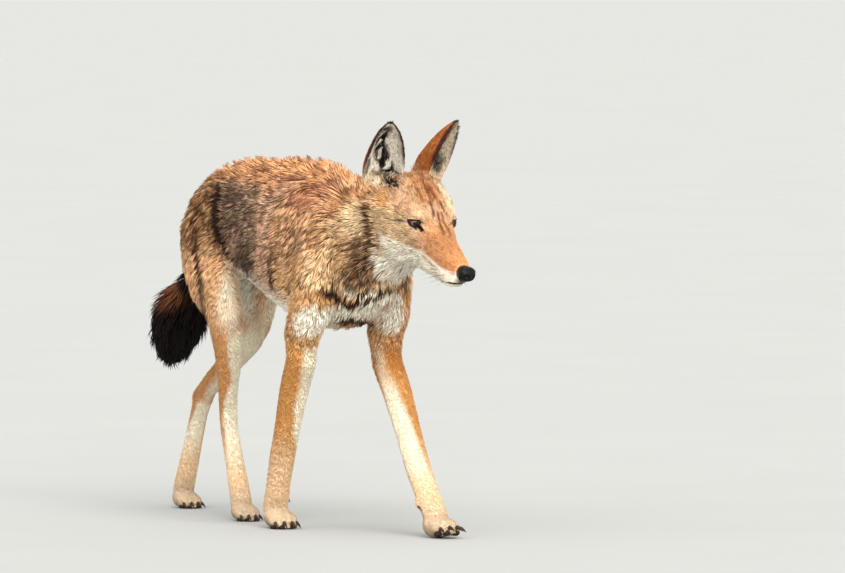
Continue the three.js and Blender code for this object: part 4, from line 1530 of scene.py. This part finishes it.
print("nose:", len(nose.data.polygons), "faces")

# %% [markdown]
# A claw is a cone bent downwards. Its rings shrink towards the point, and the base is closed. Claws and
# pads stand in each paw's own frame, which is turned with the foot's heading and tipped where the heel
# lifts.


# %% Paw frames
PAWS = {  # x and y, heading and heel lift in degrees, size
    "fore_left": (80, -402, 6, 9, 1.0),
    "fore_right": (-57, -86, -4, 0, 1.0),
    "hind_left": (14, 420, 0, 0, 0.88),
    "hind_right": (-32, 96, -4, 0, 0.88),
}


def paw_matrix(name):
    """From a paw's own frame, with its sole at 0 and its toes towards -Y, to the drawing frame."""
    x, y, heading, lift, size = PAWS[name]
    return (
        Matrix.Translation((x, y, 0))
        @ Matrix.Rotation(math.radians(heading), 4, "Z")
        @ Matrix.Translation((0, 12, 0))
        @ Matrix.Rotation(math.radians(-lift), 4, "X")
        @ Matrix.Translation((0, -12 * size, -1.5))
        @ Matrix.Scale(size, 4)
    )


def place_points(points, matrix):
    return np.array([matrix @ Vector(p) for p in points])


def claw(base, yaw_degrees, matrix, length=14.5, radius=3.9, droop=30):
    """Points and faces of one claw, closed at its base."""
    heading, around, rings = math.radians(yaw_degrees), 10, 7
    path, direction = np.array(base, float) + (0, 4.0, 1.2), math.radians(8)
    points, faces = [], []
    for k in range(rings):
        share = k / rings
        r = radius * (1 - share) ** 0.8
        ahead = np.array(
            [
                math.sin(heading) * math.cos(direction), -math.cos(heading) * math.cos(direction),
                -math.sin(direction),
            ]
        )
        side = np.array([math.cos(heading), math.sin(heading), 0])
        up = np.cross(side, ahead)
        up *= np.sign(up[2])
        for i in range(around):
            turn = 2 * math.pi * i / around
            points.append(path + side * math.cos(turn) * r * 0.8 + up * math.sin(turn) * r)
        path = path + ahead * (length + 4) / rings
        direction += math.radians(droop * 1.6 / rings)
    points.append(path)
    points.append(np.mean(points[:around], axis=0))
    for k in range(rings - 1):
        for i in range(around):
            j = (i + 1) % around
            a, b = k * around + i, k * around + j
            faces.append((a, b, b + around, a + around))
    tip, root = rings * around, rings * around + 1
    faces += [
        ((rings - 1) * around + i, (rings - 1) * around + (i + 1) % around, tip) for i in range(around)
    ]
    faces += [((i + 1) % around, i, root) for i in range(around)]
    return place_points(points, matrix), faces


def joined(name, parts, look):
    """One closed mesh object from (points, faces) parts, in the drawing frame."""
    points, faces = [], []
    for part_points, part_faces in parts:
        faces += [tuple(i + len(points) for i in face) for face in part_faces]
        points += [tuple(p) for p in part_points]
    mesh = bpy.data.meshes.new(name)
    mesh.from_pydata([tuple(p) for p in to_room(points)], [], faces)
    made = bmesh.new()
    made.from_mesh(mesh)
    bmesh.ops.recalc_face_normals(made, faces=made.faces)
    made.to_mesh(mesh)
    made.free()
    mesh.shade_smooth()
    mesh.materials.append(look)
    thing = stand(name, mesh)
    print(name, len(faces), "faces")
    return thing


claw_parts = []
for name in PAWS:
    for x, y, z, turn in ((7, -44, 11, 3), (-7, -44, 11, -3), (18.5, -34, 10, 8), (-18.5, -34, 10, -8)):
        claw_parts.append(claw((x, y, z), turn, paw_matrix(name)))
for name, out in (("fore_left", 1), ("fore_right", -1)):
    wrist, foot = np.array(LEGS[name][1], float), PAWS[name]
    heel = wrist + (np.array([foot[0], foot[1] + 14, 30]) - wrist) * 0.68
    spot = heel + (-out * 17, 8, 0) + (-out * 3, -8, -7)
    claw_parts.append(claw((0, 0, 0), 0, Matrix.Translation(Vector(spot)), length=11, radius=2.6, droop=34))
claws = joined("claws", claw_parts, horn_look)
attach(claws, "root")


# %% Pads
def ball(centre, radii, matrix, around=16, rings=10):
    """An ellipsoid whose underside is pressed flat at the floor."""
    points, faces = [(0, 0, -1)], []
    for k in range(1, rings):
        for i in range(around):
            up, turn = math.pi * k / rings - math.pi / 2, 2 * math.pi * i / around
            points.append((math.cos(up) * math.cos(turn), math.cos(up) * math.sin(turn), math.sin(up)))
    points.append((0, 0, 1))
    faces += [(0, 1 + (i + 1) % around, 1 + i) for i in range(around)]
    for k in range(rings - 2):
        for i in range(around):
            a, b = 1 + k * around + i, 1 + k * around + (i + 1) % around
            faces.append((a, b, b + around, a + around))
    last = 1 + (rings - 2) * around
    faces += [(last + i, last + (i + 1) % around, len(points) - 1) for i in range(around)]
    made = place_points(np.array(points) * radii + centre, matrix)
    made[:, 2] = np.maximum(made[:, 2], 0.1)
    return made, faces


pad_parts = []
for name in PAWS:
    matrix = paw_matrix(name)
    for x, y in ((7, -30), (-7, -30), (17, -20), (-17, -20)):
        pad_parts.append(ball((x, y, 5), (6, 8.5, 5.2), matrix))
    pad_parts.append(ball((0, -2, 6), (13, 10, 6), matrix))
pads = joined("pads", pad_parts, pad_look)
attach(pads, "root")

# %% [markdown]
# Whiskers repeat one shape on a surface, which is what Geometry Nodes do best. One bent, tapered hair is
# made from a curve, set on root points that lie on the whisker pads and cheeks, turned to each point's own
# "aim" and scaled by a seeded random value. The tree is built here in full: it realizes its instances,
# sets the material, and its result is kept as plain mesh.


# %% The whisker tree
def whisker_tree(material):
    """The node group that grows a bent, tapered hair on every point."""
    tree = bpy.data.node_groups.new("whiskers", "GeometryNodeTree")
    panel = tree.interface
    panel.new_socket("Roots", in_out="INPUT", socket_type="NodeSocketGeometry")
    for label, kind, value in (
        ("Length", "NodeSocketFloat", 0.034),
        ("Thickness", "NodeSocketFloat", 0.00024),
        ("Seed", "NodeSocketInt", 11),
    ):
        panel.new_socket(label, in_out="INPUT", socket_type=kind).default_value = value
    panel.new_socket("Whiskers", in_out="OUTPUT", socket_type="NodeSocketGeometry")
    given, result = add_node(tree, "NodeGroupInput"), add_node(tree, "NodeGroupOutput")
    hair = add_node(
        tree,
        "GeometryNodeCurveQuadraticBezier",
        Resolution=6,
        Start=(0, 0, 0),
        Middle=(0, 0, 0.6),
        End=(0, -0.22, 1),
    )
    ring = add_node(tree, "GeometryNodeCurvePrimitiveCircle", Resolution=4, Radius=1.0)
    along = add_node(tree, "GeometryNodeSplineParameter")
    thin = add_node(tree, "ShaderNodeMapRange", To_Min=1.0, To_Max=0.1)
    thick = add_node(tree, "ShaderNodeMath", "MULTIPLY")
    relative = add_node(tree, "ShaderNodeMath", "DIVIDE")
    taper = add_node(tree, "GeometryNodeSetCurveRadius")
    swept = add_node(tree, "GeometryNodeCurveToMesh", Fill_Caps=True)
    aim_at = add_node(tree, "GeometryNodeInputNamedAttribute", Name="aim")
    aim_at.data_type = "FLOAT_VECTOR"
    turned = add_node(tree, "FunctionNodeAlignRotationToVector")
    turned.axis = "Z"
    some = add_node(tree, "FunctionNodeRandomValue")
    size = add_node(tree, "ShaderNodeMath", "MULTIPLY")
    stood = add_node(tree, "GeometryNodeInstanceOnPoints")
    real = add_node(tree, "GeometryNodeRealizeInstances")
    paint_it = add_node(tree, "GeometryNodeSetMaterial", Material=material)
    least, most = [s for s in some.inputs if s.enabled and s.name in ("Min", "Max")]
    least.default_value, most.default_value = 0.7, 1.15
    wire(
        tree,
        (along, "Factor", thin, "Value"),
        (given, "Thickness", relative, 0),
        (given, "Length", relative, 1),
        (thin, "Result", thick, 0),
        (relative, 0, thick, 1),
        (hair, "Curve", taper, "Curve"),
        (thick, 0, taper, "Radius"),
        (taper, "Curve", swept, "Curve"),
        (ring, "Curve", swept, "Profile Curve"),
        (given, "Seed", some, "Seed"),
        (given, "Length", size, 1),
        (given, "Roots", stood, "Points"),
        (swept, "Mesh", stood, "Instance"),
        (turned, "Rotation", stood, "Rotation"),
        (size, 0, stood, "Scale"),
        (stood, "Instances", real, "Geometry"),
        (real, "Geometry", paint_it, "Geometry"),
        (paint_it, "Geometry", result, "Whiskers"),
    )
    if "Scale" in swept.inputs:
        wire(tree, (thick, 0, swept, "Scale"))
    tree.links.new([s for s in some.outputs if s.enabled][0], size.inputs[0])
    tree.links.new([s for s in aim_at.outputs if s.enabled][0], turned.inputs["Vector"])
    return tree


# %% Whiskers
whisker_look = plain_leather("whisker_look", paint("2b211c"), paint("16100d"), 0.5, 400, 0.0)
whisker_roots, aims = [], []
for side in (1, -1):
    spots = [
        ((19 - k * 1.3, -62 - k * 9, -46 - row * 5), (0.75, 0.5 - k * 0.12, -0.15 - row * 0.25))
        for row in range(3)
        for k in range(4)
    ]
    spots += [((48, 10, -24), (0.9, 0.5, -0.4))]
    for spot, way in spots:
        found = skin_tree.find_nearest(Vector(from_head(np.array(spot) * (side, 1, 1))))
        whisker_roots.append(np.array(found[0]) - np.array(found[1]) * 0.5)
        aims.append(HEAD_TURN @ (np.array(way) * (side, 1, 1)))
mesh = bpy.data.meshes.new("whiskers")
mesh.from_pydata([tuple(v) for v in to_room(whisker_roots)], [], [])
mesh.attributes.new("aim", "FLOAT_VECTOR", "POINT").data.foreach_set(
    "vector", np.array(aims, np.float32).ravel()
)
whiskers = stand("whiskers", mesh)
grow = whiskers.modifiers.new("grow", "NODES")
grow.node_group = whisker_tree(whisker_look)
sockets = {
    item.name: item.identifier
    for item in grow.node_group.interface.items_tree
    if item.item_type == "SOCKET" and item.in_out == "INPUT"
}
grow[sockets["Length"]] = 0.028
grow[sockets["Seed"]] = 11
settle(whiskers)
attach(whiskers, "root")
print(len(whisker_roots), "whiskers,", len(whiskers.data.polygons), "faces")

# %% [markdown]
# ## Light and floor
# A pale floor and a large soft key from before the wolf, as a museum would light a model, with a softer
# light from above and a weak fill from its right. Area lamps would light only the nearest metres of floor;
# a sun lights all of it alike, so that floor and background meet almost unseen. Its wide angle keeps the
# shadows soft. The world lights the scene from all round; to the camera alone it shows the floor's own
# paleness, so that no horizon is seen.

# %% Light and floor
for piece in (skin, *coat_pieces):
    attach(piece, "root")
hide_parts(*FLESH)


def sun(name, azimuth, elevation, strength, softness, colour=(1, 1, 1)):
    """A far, soft light. At azimuth 0 it shines from straight before the wolf."""
    data = bpy.data.lights.new(name, "SUN")
    data.energy, data.angle, data.color = strength, math.radians(softness), colour
    thing = stand(name, data)
    a, e = math.radians(azimuth), math.radians(elevation)
    towards = Vector((math.sin(a) * math.cos(e), -math.cos(a) * math.cos(e), math.sin(e)))
    thing.rotation_mode = "QUATERNION"
    thing.rotation_quaternion = towards.to_track_quat("Z", "Y")
    thing.location = towards * 5
    thing.visible_camera = False


sun("key", -8, 28, 4.1, 40, (1.0, 0.97, 0.93))
sun("top", -30, 72, 1.6, 60, (1.0, 0.98, 0.95))
sun("fill", -80, 30, 0.8, 60, (0.94, 0.97, 1.0))
world = bpy.data.worlds.new("studio")
bpy.context.scene.world = world
world.use_nodes = True
world_tree = world.node_tree
light = world_tree.nodes["Background"]
light.inputs["Color"].default_value = (0.88, 0.875, 0.865, 1)
light.inputs["Strength"].default_value = 1.12
# What lies past the floor is as pale as the lit floor itself.
seen = add_node(world_tree, "ShaderNodeBackground", Color=(0.8, 0.803, 0.764, 1))
rays, either = add_node(world_tree, "ShaderNodeLightPath"), add_node(world_tree, "ShaderNodeMixShader")
wire(
    world_tree,
    (rays, "Is Camera Ray", either, 0),
    (light, "Background", either, 1),
    (seen, "Background", either, 2),
    (either, "Shader", world_tree.nodes["World Output"], "Surface"),
)

FLOOR = 60  # half its width, in metres
floor_mesh = bpy.data.meshes.new("floor")
corners = [(-FLOOR, -FLOOR, 0), (FLOOR, -FLOOR, 0), (FLOOR, FLOOR, 0), (-FLOOR, FLOOR, 0)]
floor_mesh.from_pydata(corners, [], [(0, 1, 2, 3)])
floor = stand("floor", floor_mesh)
floor_look = plain_leather("floor_look", paint("a2a3a1"), paint("a0a19f"), 0.9, 3, 0.0)
floor_mesh.materials.append(floor_look)
floor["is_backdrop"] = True
bpy.context.scene.view_settings.view_transform = "Standard"

# %% Finish
done_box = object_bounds()
for label, box in (("packed", cad_box), ("dressed", done_box)):
    print(label, [[round(float(c), 4) for c in corner] for corner in box])
